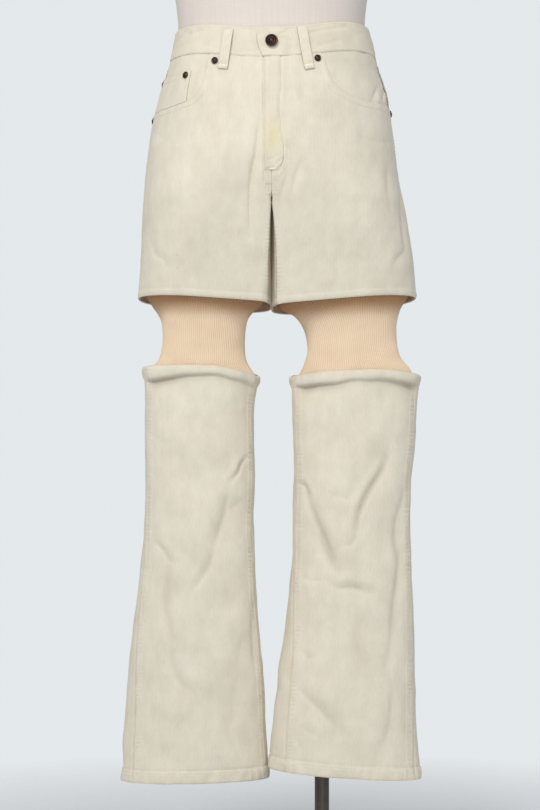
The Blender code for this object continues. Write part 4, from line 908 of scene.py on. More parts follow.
class Nodes:
    """Short words for building a material's nodes."""

    def __init__(self, name, colour, roughness, metallic=0.0):
        self.material = bpy.data.materials.new(name)
        self.material.use_nodes = True
        self.tree = self.material.node_tree
        self.shader = self.tree.nodes["Principled BSDF"]
        self.shader.inputs["Base Color"].default_value = (*colour, 1)
        self.shader.inputs["Roughness"].default_value = roughness
        self.shader.inputs["Metallic"].default_value = metallic

    def put(self, socket, value):
        if isinstance(value, bpy.types.NodeSocket):
            self.tree.links.new(value, socket)
        elif value is not None:
            socket.default_value = value

    def math(self, operation, a, b=None, c=None, clamp=False):
        node = self.tree.nodes.new("ShaderNodeMath")
        node.operation, node.use_clamp = operation, clamp
        for socket, value in zip(node.inputs, (a, b, c)):
            self.put(socket, value)
        return node.outputs[0]

    def total(self, *parts, base=0.0, clamp=False):
        """The base plus each part, given as a value and its weight; the last is added first."""
        for k, (value, weight) in enumerate(parts[::-1], 1):
            base = self.math("MULTIPLY_ADD", value, weight, base, clamp and k == len(parts))
        return base

    def vector(self, operation, a, b=None):
        node = self.tree.nodes.new("ShaderNodeVectorMath")
        node.operation = operation
        self.put(node.inputs[0], a)
        self.put(node.inputs[1], b)
        return node

    def cloth_place(self, scale=(1, 1)):
        """Metres across and down the cloth, times a scale for each."""
        source = self.tree.nodes.new("ShaderNodeUVMap")
        source.uv_map = "cloth"
        return self.vector("MULTIPLY", source.outputs["UV"], (*scale, 1)).outputs[0]

    def space_place(self, scale=(1, 1, 1)):
        """Metres in the object's space, times a scale for each axis."""
        source = self.tree.nodes.new("ShaderNodeTexCoord")
        return self.vector("MULTIPLY", source.outputs["Object"], scale).outputs[0]

    def noise(self, vector, detail, scale=1.0, roughness=0.5):
        node = self.tree.nodes.new("ShaderNodeTexNoise")
        self.put(node.inputs["Vector"], vector)
        node.inputs["Scale"].default_value = scale
        node.inputs["Detail"].default_value = detail
        node.inputs["Roughness"].default_value = roughness
        return node.outputs["Fac"]

    def woven(self, across, down, detail):
        """Noise on the cloth, with so many changes a metre across and down."""
        return self.noise(self.cloth_place((across, down)), detail)

    def cloudy(self, scale, detail, roughness=0.5, stretch=(1, 1, 1)):
        """Noise in the object's space, with so many changes a metre."""
        return self.noise(self.space_place(stretch), detail, scale, roughness)

    def attribute(self, name):
        node = self.tree.nodes.new("ShaderNodeAttribute")
        node.attribute_name = name
        return node.outputs["Fac"]

    def mix(self, share, a, b):
        node = self.tree.nodes.new("ShaderNodeMix")
        node.data_type = "RGBA"
        self.put(node.inputs["Factor"], share)
        for key, value in (("A", a), ("B", b)):
            socket = [s for s in node.inputs if s.name == key and s.type == "RGBA"][0]
            self.put(socket, (*value, 1) if isinstance(value, tuple) else value)
        return [s for s in node.outputs if s.type == "RGBA"][0]

    def near(self, centre, size):
        """One at a point of the object's space, falling to nothing at an ellipsoid round it."""
        place = self.tree.nodes.new("ShaderNodeTexCoord").outputs["Object"]
        shift = self.vector("SUBTRACT", place, centre)
        scaled = self.vector("DIVIDE", shift.outputs[0], size)
        length = self.vector("LENGTH", scaled.outputs[0])
        return self.math("SUBTRACT", 1.0, length.outputs["Value"], clamp=True)

    def bump(self, height, strength, distance):
        node = self.tree.nodes.new("ShaderNodeBump")
        self.put(node.inputs["Height"], height)
        node.inputs["Strength"].default_value = strength
        node.inputs["Distance"].default_value = distance
        self.put(self.shader.inputs["Normal"], node.outputs[0])

    def finish(self, colour, roughness=None, sheen=0.0):
        self.put(self.shader.inputs["Base Color"], colour)
        self.put(self.shader.inputs["Roughness"], roughness)
        self.shader.inputs["Sheen Weight"].default_value = sheen
        self.shader.inputs["Sheen Roughness"].default_value = 0.6
        return self.material


WALE = 0.0019               # from one wale of the cotton to the next
WALE_WANDER = 0.0008
CREAM = (0.800, 0.742, 0.615)
CREAM_DIM = (0.83, 0.815, 0.78)         # the cotton's darkest, as shares of the cream
CREAM_BRIGHT = 1.035                    # and its brightest
# tan of rubbed seams and edges, also used for painted shade
CREAM_WEAR_AND_SHADE = (0.60, 0.50, 0.35)
# painted shade for creases, under the calves' rolls and between the thighs
CREAM_PAINTED_SHADE = (0.50, 0.445, 0.355)
# painted shade of the cloth's inner face
INSIDE_PAINTED_SHADE = (0.50, 0.33, 0.20)
WORN = (0.74, 0.67, 0.40)
WORN_PATCH = ((0.002, -0.106, 1.032), (0.017, 0.03, 0.032))     # its centre and half sizes
SPOT = (0.42, 0.27, 0.15)
SPOTS = (((-0.1268, -0.07, 0.877), 0.0018), ((-0.1262, -0.065, 0.8595), 0.0022))
BEIGE = (0.820, 0.650, 0.460)
# the knit's furrows painted in shade and its crests painted lighter
KNIT_FURROW_SHADED = (0.690, 0.500, 0.325)
KNIT_CREST_LIT = (0.880, 0.712, 0.520)
# painted shadow under the thighs' rims
KNIT_PAINTED_SHADE = (0.330, 0.140, 0.030)
LINEN = (0.750, 0.680, 0.615)
LINEN_TONES = ((0.64, 0.565, 0.505), (0.80, 0.735, 0.675))
THREAD = (0.86, 0.81, 0.69)
THREAD_TONES = ((0.80, 0.74, 0.61), (0.92, 0.88, 0.77))
COPPER = (0.10, 0.055, 0.04)
COPPER_TONES = ((0.026, 0.018, 0.016), (0.125, 0.070, 0.052))
DARK_METAL = (0.045, 0.04, 0.036)
METAL_TONES = ((0.070, 0.060, 0.052), (0.150, 0.130, 0.110))


def cotton():
    """Fine-wale cotton: wales along the piece, slubs, washed-out mottling and tan at its seams, and
    painted shade in its creases, under the calves' rolls, between the thighs, on the waistband and
    on its inner face.
    """
    n = Nodes("cream_cloth", CREAM, 0.92)
    parts = n.tree.nodes.new("ShaderNodeSeparateXYZ")
    n.put(parts.inputs[0], n.cloth_place())
    wander = n.math("MULTIPLY", n.woven(40, 12, 1), WALE_WANDER)
    across = n.math("ADD", parts.outputs[0], wander)
    wale = n.math("SINE", n.math("MULTIPLY", across, TURN / WALE))
    slub = n.woven(800, 130, 3)
    streak = n.woven(150, 7, 2)
    weft = n.woven(160, 900, 2)
    fine = n.woven(1500, 1500, 1)
    n.bump(n.total((wale, 0.42), (slub, 1.0), (weft, 0.5), (fine, 0.6)), 0.60, 0.00030)
    cloudy = n.cloudy(17, 4, roughness=0.6)
    blotch = n.cloudy(75, 2, stretch=(1, 1, 0.5))
    shade = n.total((wale, 0.11), (cloudy, 0.9), (blotch, 0.7), (slub, 0.55), (streak, 0.1),
                    (fine, 0.9), base=-1.10, clamp=True)
    bright = tuple(c * CREAM_BRIGHT for c in CREAM)
    dim = tuple(c * k for c, k in zip(CREAM, CREAM_DIM))
    colours = n.mix(shade, dim, bright)
    # the first mark is tan of rubbed seams and edges and also painted shade between the thighs, on
    # the waistband and along the fly's edge; the second is painted shade in creases, under the
    # calves' rolls and on the thighs' insides
    for mark, strength, tint in (("wear_and_shade", 0.55, CREAM_WEAR_AND_SHADE), ("painted_shade", 0.85, CREAM_PAINTED_SHADE)):
        share = n.math("MULTIPLY", n.attribute(mark), strength, clamp=True)
        colours = n.mix(share, colours, tint)
    # the inner face is painted darker brown, as painted shade inside the openings
    painted_inside_shade = n.total((n.attribute("painted_inside_shade"), 1.4), base=-0.60, clamp=True)
    colours = n.mix(painted_inside_shade, colours, INSIDE_PAINTED_SHADE)
    worn = n.math("MULTIPLY", n.near(*WORN_PATCH), n.cloudy(160, 2))
    colours = n.mix(n.math("MULTIPLY", worn, 1.8, clamp=True), colours, WORN)
    for spot, size in SPOTS:
        mark = n.math("MULTIPLY", n.near(spot, (size, 0.03, size)), 0.35)
        colours = n.mix(mark, colours, SPOT)
    return n.finish(colours, n.total((cloudy, 0.08), base=0.86), sheen=0.12)


def rib_knit():
    """Rib knit: the ribs are modelled; its loops, the painted shade of the furrows, the painted
    light of the crests and the painted shadow under the thighs' rims are here.
    """
    n = Nodes("beige_knit", BEIGE, 0.95)
    fuzz = n.woven(1900, 900, 3)
    loops = n.woven(1400, 420, 2)
    n.bump(n.math("ADD", fuzz, loops), 0.35, 0.00025)
    # the crests painted lighter and the furrows painted in shade
    tone = n.total((n.attribute("painted_rib_shading"), 0.55), (n.cloudy(24, 3), 0.35), (loops, 0.25),
                   base=0.02, clamp=True)
    colours = n.mix(tone, KNIT_FURROW_SHADED, KNIT_CREST_LIT)
    # painted shadow of the thigh's rim over the knit's top
    colours = n.mix(n.math("MULTIPLY", n.attribute("painted_shade"), 0.82), colours, KNIT_PAINTED_SHADE)
    return n.finish(colours, 0.95, sheen=0.15)


def linen():
    """A plain linen cover with slubs both ways."""
    n = Nodes("linen", LINEN, 0.95)
    warp = n.woven(1500, 28, 3)
    weft = n.woven(36, 1500, 3)
    slub = n.woven(260, 9, 2)
    n.bump(n.math("ADD", warp, weft), 0.55, 0.0003)
    tone = n.total((slub, 0.45), (warp, 0.45), (weft, 0.45), (n.cloudy(12, 3), 0.35),
                   base=-0.35, clamp=True)
    return n.finish(n.mix(tone, *LINEN_TONES), 0.95, sheen=0.08)


def thread_stuff():
    """Cream thread, with the twist of its plies."""
    n = Nodes("cream_thread", THREAD, 0.7)
    twist = n.cloudy(1800, 2)
    n.bump(twist, 0.4, 0.0001)
    return n.finish(n.mix(twist, *THREAD_TONES), 0.75, sheen=0.05)


def old_copper():
    """Copper gone nearly black, redder where it has rubbed."""
    n = Nodes("dark_copper", COPPER, 0.38, 0.9)
    patina = n.cloudy(900, 4)
    n.bump(patina, 0.25, 0.0001)
    rubbed = n.total((patina, 2.4), base=-0.8, clamp=True)
    return n.finish(n.mix(rubbed, *COPPER_TONES), n.total((patina, 0.35), base=0.22))


def dark_metal():
    """The stand's dark metal, a little dusty."""
    n = Nodes("dark_metal", DARK_METAL, 0.35, 0.55)
    n.bump(n.cloudy(420, 3), 0.15, 0.0002)
    dust = n.cloudy(35, 5, roughness=0.7)
    dusty = n.total((dust, 1.6), base=-0.55, clamp=True)
    return n.finish(n.mix(dusty, *METAL_TONES), n.total((dust, 0.3), base=0.22))


# ---- The lie of the cloth -------------------------------------------------------------------

BEHIND_FRONT = {"painted_shade": (0.009, 0.018), "wear_and_shade": (0.005, 0.012)}     # how far behind the front these marks of painted shade begin
MARKS_CHANGE = (0.810, 0.870)           # a thigh's inside is painted with grey-brown shade below and tan shade above
INSIDE_MARKS = 0.9          # how strong that painted shade is
UNDULATION = 0.0004         # height of the cloth's long undulations
RIPPLE = 0.00016            # and of its short ones
TOUCH_FULLNESS = 0.0048     # how far the cloth reaches out to the other thigh at most
TOUCH_EXTRA = 0.0004        # how far past the centre plane
TOUCH_ENDS = (-0.0052, -0.0046)         # minus the gap to that plane: apart, and touching
TOUCH_BEHIND = (0.016, 0.034)           # how far behind the front the thighs begin to touch
TOUCH_BACK = (0.036, 0.060)             # and y where they part again


def front_place(z, x, face=-1):
    """Points and normals of the hips at signed distances from the centre."""
    found = []
    for leg in (RIGHT_THIGH, LEFT_THIGH):
        angle = angle_at_x(leg, z, np.abs(x), face)
        found.append((smooth_point(leg, z, angle), smooth_normal(leg, z, angle)))
    left = (x >= 0)[..., None]
    return tuple(np.where(left, b, a) for a, b in zip(*found))


def ground(cloth):
    """Height of the creases and undulations, the same for every piece at one place."""
    height = np.zeros(cloth.points.shape[:-1])
    for leg in (cloth.leg,) if cloth.leg else (RIGHT_THIGH, LEFT_THIGH):
        on_leg = leg.side * cloth.points[..., 0] >= 0 if cloth.leg is None else 1.0
        height += fold_field(leg, cloth.points, cloth.normals) * on_leg
    height += UNDULATION * waves(cloth.points, 3, 0.170, 0.060)
    height += RIPPLE * waves(cloth.points, 5, 0.034, 0.013, (1, 1, 0.7))
    return height


def inside_thigh(leg, cloth):
    """How much each point faces the other thigh, and how far it lies behind the front."""
    facing = np.clip(-leg.side * cloth.normals[..., 0], 0.0, 1.0)
    return facing, cloth.points[..., 1] - sizes_at(leg, cloth.heights).front


def thighs_touch(leg, cloth):
    """Fullness at the inside of the thighs, where the two legs rest together."""
    facing, behind = inside_thigh(leg, cloth)
    inner = sizes_at(leg, cloth.heights).inner
    gap = np.clip(inner + TOUCH_EXTRA, 0.0, TOUCH_FULLNESS) * step_up(-inner, *TOUCH_ENDS)
    ahead_of_back = 1 - step_up(cloth.points[..., 1], *TOUCH_BACK)
    return gap * facing * step_up(behind, *TOUCH_BEHIND) * ahead_of_back


def thigh_marks(leg, cloth):
    """The marks of a thigh's seams, and the painted shade where it faces the other thigh."""
    marks = seam_marks(cloth)
    facing, behind = inside_thigh(leg, cloth)
    facing = facing ** 2
    low = 1 - step_up(cloth.heights, *MARKS_CHANGE)
    # painted shade on the inside of the thigh, where the gap between the thighs lies in shade:
    # grey-brown below and tan above
    marks["painted_shade"] = INSIDE_MARKS * facing * low * step_up(behind, *BEHIND_FRONT["painted_shade"])
    upper_gap_shade = INSIDE_MARKS * facing * (1 - low) * step_up(behind, *BEHIND_FRONT["wear_and_shade"])
    marks["wear_and_shade"] = np.clip(marks["wear_and_shade"] + upper_gap_shade, 0, 1)
    return marks


def relief(away, *parts):
    """The height at distances from a line, made of rises and grooves.

    Each part is its height, its distance from the line and its width, in millimetres.
    """
    height = np.zeros(np.shape(away))
    for rise, place, width in parts:
        height = height + rise * MM * bell(away - place * MM, width * MM)
    return height


def edge_roll(away, depth=0.6, width=0.9):
    """The rounding of a free or folded edge; its depth and width are in millimetres."""
    return -depth * MM * np.exp(-away / (width * MM))


PUCKER = 0.0050             # from one pucker to the next along a stitched seam
FELL_RISE = 0.0005          # of the calves' flat double seams
FELL_PULL = 0.0006          # height of the puckers that their stitches and the hems' draw
HEM_STEP = 0.0010
HEM_LINE = 0.0132           # the groove between a hem's two rows of stitches

# Edge rolls: depth and width in millimetres.
HEAVY_ROLL = (0.8, 1.1)
TOP_ROLL = (0.8, 1.2)
OPEN_TOP_ROLL = (0.5, 1.2)
HEM_ROLL = (0.8, 1.0)
RIM_ROLL = (1.6, 1.4)
SCOOP_ROLL = (0.9, 0.9)
FLY_ROLL = (0.7, 0.8)
BAND_ROLLS = ((0.8, 1.1), (0.7, 0.9), (0.6, 0.9))       # its top, its bottom and its ends
LOOP_ROLLS = ((0.5, 0.7), (0.6, 0.8))                   # its sides and its lower end

# Parts of reliefs: height, distance from the edge or line and width, in millimetres.
SEAM_RISE = (0.4, 4.0, 3.5)
SEAM_DRAWN = (1.0, 4.5, 4.5)
SCOOP_RELIEF = ((0.22, 4.5, 4.0), (-0.30, 2.0, 0.7), (-0.45, 9.0, 0.9))
FLY_STEP_RELIEF = ((-1.6, 0.0, 0.9), (0.6, 3.6, 2.6))
FLY_GROOVE = (-0.6, 3.4, 0.9)
STITCHED_GROOVE = (-0.9, 0.0, 0.8)
STITCHED_RIDGE = (0.3, 1.7, 0.8)
RIM_GROOVE = (-0.3, 9.5, 1.6)
KNIT_SEAM_GROOVE = (-1.0, 3.2, 0.7)
BACK_POCKET_GROOVE = (-0.4, 16.5, 1.2)
LOOP_GROOVE = (-0.20, 2.8, 0.8)


def puckers(cloth, seed, bend, mean, swing):
    """What a seam's thread draws up along it, wandering in place and in strength."""
    drift = waves(cloth.points, seed, 0.060, 0.020, (0.3, 0.3, 1))
    return np.cos(TURN * cloth.down / PUCKER + bend * drift) * (mean + swing * drift)


def in_view(cloth, outer):
    """How far each point lies inside the outline that its leg shows from the front."""
    reach = cloth.leg.side * cloth.points[..., 0] * (-1 if outer else 1)
    return reach - reach.min(axis=1, keepdims=True)


def felled_line(cloth, distance, outer, first, last):
    """A line down a front panel that keeps its distance from the leg's outline."""
    rows = np.linspace(first, last, LINE_POINTS) * (cloth.points.shape[0] - 1)
    half = len(cloth.shares) // 2
    columns = []
    for row in in_view(cloth, outer):
        order = np.arange(half, len(row)) if outer else np.arange(half, -1, -1)
        order = order[:np.argmin(row[order]) + 1]
        columns.append(np.interp(distance, row[order][::-1], order[::-1]))
    return spots(cloth, rows, value_at(rows, columns))


def felled_shape(cloth, outer, near, far):
    """The flat double seam between two distances from the outline: its rise and its puckers."""
    middle, reach = (near + far) / 2, (far - near) / 2
    inside = np.exp(-((in_view(cloth, outer) - middle) / (1.1 * reach)) ** 4)
    return (FELL_RISE + FELL_PULL * puckers(cloth, 17, 1.4, 0.8, 0.3)) * inside


def seam_sides(cloth, inner):
    """The distances from a panel's seams: from the inner seam too, or from the outer only."""
    return [cloth.arcs] * inner + [cloth.widths - cloth.arcs]


def seam_shape(cloth, drawn=0.4, inner=True):
    """A seam's groove, the rise of the allowance beside it and the puckers its thread draws up."""
    height = np.zeros(cloth.points.shape[:-1])
    pucker = puckers(cloth, 11, 1.6, 0.75, 0.35)
    for away in seam_sides(cloth, inner):
        height += edge_roll(away, *HEAVY_ROLL) + relief(away, SEAM_RISE)
        height += drawn * pucker * relief(away, SEAM_DRAWN)
    return height


def hem_shape(cloth):
    """A turned-up edge: thicker cloth, its stitched line and the puckers along it."""
    rise = cloth.down[-1] - cloth.down
    pucker = waves(cloth.points, 13, 0.011, 0.005, (1, 1, 0.2))
    height = HEM_STEP * (1 - step_up(rise, HEM_DEPTH - 0.0012, HEM_DEPTH + 0.0004))
    height += relief(rise, (-0.5, HEM_LINE / MM, 1.1), (-0.7, HEM_DEPTH / MM + 1.4, 1.6))
    height += FELL_PULL * pucker * bell(rise - 0.6 * HEM_LINE, 0.6 * HEM_DEPTH)
    return height + edge_roll(rise, *HEM_ROLL)


# ---- Pieces of cloth ------------------------------------------------------------------------

class Piece(NamedTuple):
    """A piece of cloth and the size that it was cut to."""

    item: bpy.types.Object
    flat: tuple     # width and length
    area: float


THREADS = {}                # and the stitches on them


NEAR = 3                    # how many points away a crease is felt by the wall behind it


def lowest_near(height):
    """The least height within a few points of each point of a grid."""
    lowest = height
    for axis in (0, 1):
        padded = np.pad(lowest, [(NEAR, NEAR) if axis == k else (0, 0) for k in (0, 1)], "edge")
        moves = [np.take(padded, np.arange(height.shape[axis]) + k, axis=axis)
                 for k in range(2 * NEAR + 1)]
        lowest = np.min(moves, axis=0)
    return lowest


def add_piece(name, cloth, height, wall, marks, slot="cream_cloth", ring=False):
    """Presses a height into a smooth grid and makes the piece that replaces a CAD node.

    Behind sharp creases the wall is thicker, so that its coarser inner face stays inside.
    """
    shaped = moved(cloth, height)
    if not ring:
        from_edge = np.minimum(cloth.down, cloth.down[-1] - cloth.down)
        from_seam = np.minimum(cloth.arcs, cloth.widths - cloth.arcs)
        inside = step_up(from_edge, 0.005, 0.011) * step_up(from_seam, 0.002, 0.006)
        wall = wall + (height - lowest_near(height)) * inside
    item = shell(name + "_cloth", shaped, wall, slot, marks, ring)
    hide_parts(name)
    return shaped


def threads_of(name):
    return THREADS.setdefault(name, Thread())


def stitch(name, line, **how):
    """A row of stitches on a piece, along a line of points and normals."""
    threads_of(name).row(*line, **how)


def on_cloth(cloth, shares, z):
    """Points and normals of a piece at shares across and at nominal heights."""
    columns = index_of(shares, cloth.shares)
    low = np.clip(columns.astype(int), 0, len(cloth.shares) - 2)
    part = (columns - low)[:, None]
    heights = cloth.heights.T[low] * (1 - part) + cloth.heights.T[low + 1] * part
    rows = np.array([index_of(-a, -column) for a, column in zip(z, heights)])
    return spots(cloth, rows, columns)


LINE_STEP = 0.001           # between the points of a stitched path


def beside_centre(cloth, path):
    """Points and normals of a panel along a path of (distance from the centre, height)."""
    x, z = smooth_path(path, LINE_STEP).T
    last_row, last_column = np.array(cloth.heights.shape) - 1
    columns = np.zeros(len(x))
    for _ in range(3):
        near = np.clip(np.round(columns).astype(int), 0, last_column)
        rows = np.array([index_of(-a, -cloth.heights[:, j]) for a, j in zip(z, near)])
        level = np.clip(np.round(rows).astype(int), 0, last_row)
        reach = np.maximum.accumulate(np.abs(cloth.points[level, :, 0]), axis=1)
        columns = np.array([index_of(a, row) for a, row in zip(x, reach)])
    return spots(cloth, rows, columns)


# ---- The thighs -----------------------------------------------------------------------------

# Top edge of each front panel from where the pocket opens: share across and nominal height.
SCOOP = {
    -1: ((0.425, 1.1513), (0.434, 1.1140), (0.490, 1.0910), (0.545, 1.0860), (0.640, 1.0815),
         (0.760, 1.0785), (0.880, 1.0770), (1.0, 1.0755)),
    +1: ((0.350, 1.1513), (0.395, 1.1090), (0.480, 1.0940), (0.560, 1.0880), (0.645, 1.0850),
         (0.760, 1.0840), (0.880, 1.0835), (1.0, 1.0830)),
}
SCOOP_SAMPLES = 42          # columns where a pocket's edge runs down steeply
SCOOP_STEP = 0.0008         # between the points of its line
SCOOP_REACH = 0.014         # how far its turned edge is felt
INSIDE_COLUMNS = 44         # columns inside a front's inner share
BACK_INSIDE_COLUMNS = 30    # and inside a back's
FRONT_LEVEL = 1.10          # where the fronts' width sets their number of columns
BACK_LEVEL = 1.05           # and the backs'
BACK_FULLNESS = 1.15        # how much wider the backs are than the fronts
YOKE_DROP_CENTRE = 0.072
YOKE_DROP_SIDE = 0.038
FACING_WIDTH = 0.145
FACING_LENGTH = 0.065
FACING_START = 0.07         # how much of the width it begins before the pocket's opening
FACING_UNDERLAP = 0.014
FACING_DEPTHS = (0.0009, 0.0026)        # how far it is sunk at the waist seam, and lower down
FACING_SLOPE = 0.022        # length over which it sinks from one to the other
SCOOP_STITCHES = (0.0018, 0.0082)       # rows of stitches: their distances from the edge
YOKE_STITCHES = (0.0018, 0.0080)
FLY_LINE = ((0.0126, 1.1513), (0.0117, 1.1060), (0.0106, 1.0690), (0.0120, 1.0476),
            (0.0146, 1.0276), (0.0157, 1.0143), (0.0146, 0.9944), (0.0090, 0.9850))
FLY_LINE_STEP = 0.002       # between the points of the line where the fly meets the left front
FLY_LINE_REACH = 0.016      # how far the step there is felt


WIDTH_LEVELS = 60


def front_width(leg, z):
    """The way round from the centre to the outer seam at the front."""
    levels = np.linspace(leg.sections[-1].z, WAIST_SEAM, WIDTH_LEVELS)
    widths = angle_table(leg, levels, thigh_seams(leg), np.zeros(1))[2]
    return np.interp(z, levels, widths)


def scoop_line(leg, away=0.0, start=0.0, end=1.0):
    """Shares and heights along the pocket's edge, moved a distance into the front panel."""
    share, z = np.array(SCOOP[leg.side]).T
    path = smooth_path(np.stack([share * front_width(leg, z), z], axis=1), SCOOP_STEP)
    path = path[int(start * len(path)):int(end * len(path))]
    steps = np.gradient(path, axis=0)
    out = unit(np.stack([steps[:, 1], -steps[:, 0]], axis=1))
    across, z = (path + out * away).T
    return across / front_width(leg, z), z


def scoop_height(leg, shares):
    """Height of the front panel's top edge at shares across."""
    share, z = scoop_line(leg)
    low = np.interp(shares, np.maximum.accumulate(share), z)
    return np.where(shares < share[0], WAIST_SEAM, low)


def scoop_lift(leg, cloth):
    """The pocket's edge: turned in, stitched down and a little fuller."""
    share, z = scoop_line(leg)
    line = on_smooth(leg, share[::3], z[::3])
    near, side, _ = beside_line(cloth.points, cloth.normals, line, SCOOP_REACH)
    away = np.abs(side)
    height = np.zeros(cloth.points.shape[:-1])
    height[near] += edge_roll(away, *SCOOP_ROLL) + relief(away, *SCOOP_RELIEF)
    return height


def on_smooth(leg, shares, z):
    """Points of a thigh's smooth front at shares across and at nominal heights."""
    levels = np.linspace(z.min(), z.max(), LEVEL_SAMPLES - 1)
    grid = np.linspace(0, 1, LEVEL_SAMPLES)
    table = angle_table(leg, levels, thigh_seams(leg), grid)[0]
    turned = sample(table[..., None], index_of(z, levels), index_of(shares, grid))
    return smooth_point(leg, z, turned[:, 0])


def fly_step(cloth):
    """The front's fullness beside the fly, beyond a sharp little groove."""
    x, z = smooth_path(FLY_LINE, FLY_LINE_STEP).T
    line, _ = front_place(z, x)
    near, side, _ = beside_line(cloth.points, cloth.normals, line, FLY_LINE_REACH)
    x, _, z = cloth.points[near].T
    beyond = x - np.interp(-z, -line[:, 2], line[:, 0])
    away = np.abs(side) * np.where(beyond > 0, 1, -1)
    height = np.zeros(cloth.points.shape[:-1])
    height[near] += relief(away, *FLY_STEP_RELIEF)
    return height


def thigh_wall(cloth, leg):
    """The thickness of a thigh's cloth, double where its rim is folded."""
    rise = cloth.heights - leg.sections[-1].z
    return CLOTH_WALL + RIM_WALL * (1 - step_up(rise, RIM_FOLD - EASE, RIM_FOLD + EASE))


RIM_FULLNESS = 0.0005
RIM_EASE = (0.0070, 0.0110)             # heights over the edge between which it thins out


def rim_shape(cloth):
    """The smooth folded edge above the knit: full, with a faint line where the fold ends."""
    rise = cloth.down[-1] - cloth.down
    height = RIM_FULLNESS * (1 - step_up(rise, *RIM_EASE))
    return height + relief(rise, RIM_GROOVE) + edge_roll(rise, *RIM_ROLL)


def thigh_rows(leg, top, shares):
    """Heights of a thigh panel: squeezed under its top edge to the hip, and level below."""
    upper = even_parts(WAIST_SEAM - HIP)
    upper = upper[upper < 1 - SIDE_STEPS[-1] / (WAIST_SEAM - HIP)]
    fall = HIP - leg.sections[-1].z
    lower = even_parts(fall)
    lower = lower[lower > SIDE_STEPS[2] / fall]
    high = top[None] + (HIP - top)[None] * upper[:, None]
    level = HIP - fall * lower
    low = np.repeat(level[:, None], len(shares), 1)
    if (len(high) + len(low)) % 2 == 0:
        low = np.concatenate([(high[-1:] + low[:1]) / 2, low])
    return np.concatenate([high, low])


def yoke_height(shares):
    """Height of the yoke's lower edge at shares across."""
    drop = YOKE_DROP_SIDE + (YOKE_DROP_CENTRE - YOKE_DROP_SIDE) * (1 - shares)
    return WAIST_SEAM - drop


def seam_marks(cloth, inner=True, reach=0.0035):
    """A little tan, where seams and edges have rubbed."""
    wear_and_shade = np.zeros(cloth.points.shape[:-1])
    for away in seam_sides(cloth, inner):
        wear_and_shade += 0.6 * bell(away, reach)
    mottle = 0.5 + 0.5 * waves(cloth.points, 17, 0.05, 0.01)
    return {"wear_and_shade": np.clip(wear_and_shade * (0.5 + 0.5 * mottle), 0, 1)}


# Stitching on the right front below the fly, as (distance from the centre, height).
CROTCH_STITCHES = (
    ((0.0030, 0.9800), (0.0024, 0.9600)), ((0.0098, 0.9870), (0.0096, 0.9740), (0.0074, 0.9690)),
    ((0.0074, 0.9690), (0.0066, 0.9600)), ((0.0020, 0.9842), (0.0096, 0.9850)),
    ((0.0020, 0.9690), (0.0074, 0.9690)),
)
# The fly's curved double stitching on the left front, and its edge on the right front.
FLY_CURVES = (
    ((0.0226, 1.0260), (0.0228, 1.0115), (0.0214, 0.9929), (0.0134, 0.9800), (0.0050, 0.9750)),
    ((0.0204, 1.0260), (0.0206, 1.0115), (0.0192, 0.9945), (0.0122, 0.9825), (0.0050, 0.9775)),
)
FLY_EDGE = ((0.0112, 1.1500), (0.0110, 1.0600), (0.0106, 0.9870))
FLY_PUCKER = 0.0042         # from one pucker to the next along the fly
FURROW_REACH = 0.006        # how far a stitched furrow and its ridge are felt


def drawn_lines(leg, cloth, paths):
    """Furrows along stitched paths of (distance from the centre, height), and ridges beside them."""
    height = np.zeros(cloth.points.shape[:-1])
    for path in paths:
        x, z = smooth_path(path, LINE_STEP).T
        line, _ = front_place(z, leg.side * x)
        near, side, along = beside_line(cloth.points, cloth.normals, line, FURROW_REACH)
        away = np.abs(side)
        pucker = 1 + 0.5 * np.cos(TURN * along * len(x) * LINE_STEP / FLY_PUCKER)
        height[near] += relief(away, STITCHED_GROOVE) * pucker + relief(away, STITCHED_RIDGE)
    return height


CENTRE_ROPE_TWIST = 0.0036  # from one twist to the next
INSEAM_ROPE_TWIST = 0.0052
CENTRE_ROPE = (0.45, 4.0, 3.0)          # parts of reliefs
INSEAM_ROPE = (0.4, 5.4, 2.2)
CENTRE_ROPE_LEVELS = ((0.950, 0.954), (0.970, 0.980))   # it swells in the one, fades in the other
INSEAM_ROPE_LEVELS = (0.855, 0.880)     # and the inner seam's fades here
INSEAM_ROPE_BEHIND = (0.010, 0.020)     # and so far behind the front


def roped(leg, cloth):
    """The twisted ridges of the right's centre seam and of the left's inner seam near its rim."""
    z = cloth.heights
    if leg.side < 0:
        ripple = np.cos(TURN * (z + 0.25 * cloth.arcs) / CENTRE_ROPE_TWIST)
        swells, fades = CENTRE_ROPE_LEVELS
        levels = step_up(z, *swells) * (1 - step_up(z, *fades))
        return relief(cloth.arcs, CENTRE_ROPE) * ripple * levels
    size = sizes_at(leg, z)
    away = leg.side * cloth.points[..., 0] - size.inner
    ahead = 1 - step_up(cloth.points[..., 1] - size.front, *INSEAM_ROPE_BEHIND)
    ripple = np.cos(TURN * (z - 0.5 * away) / INSEAM_ROPE_TWIST)
    levels = 1 - step_up(z, *INSEAM_ROPE_LEVELS)
    return relief(away, INSEAM_ROPE) * (1 + 1.5 * ripple) * ahead * levels


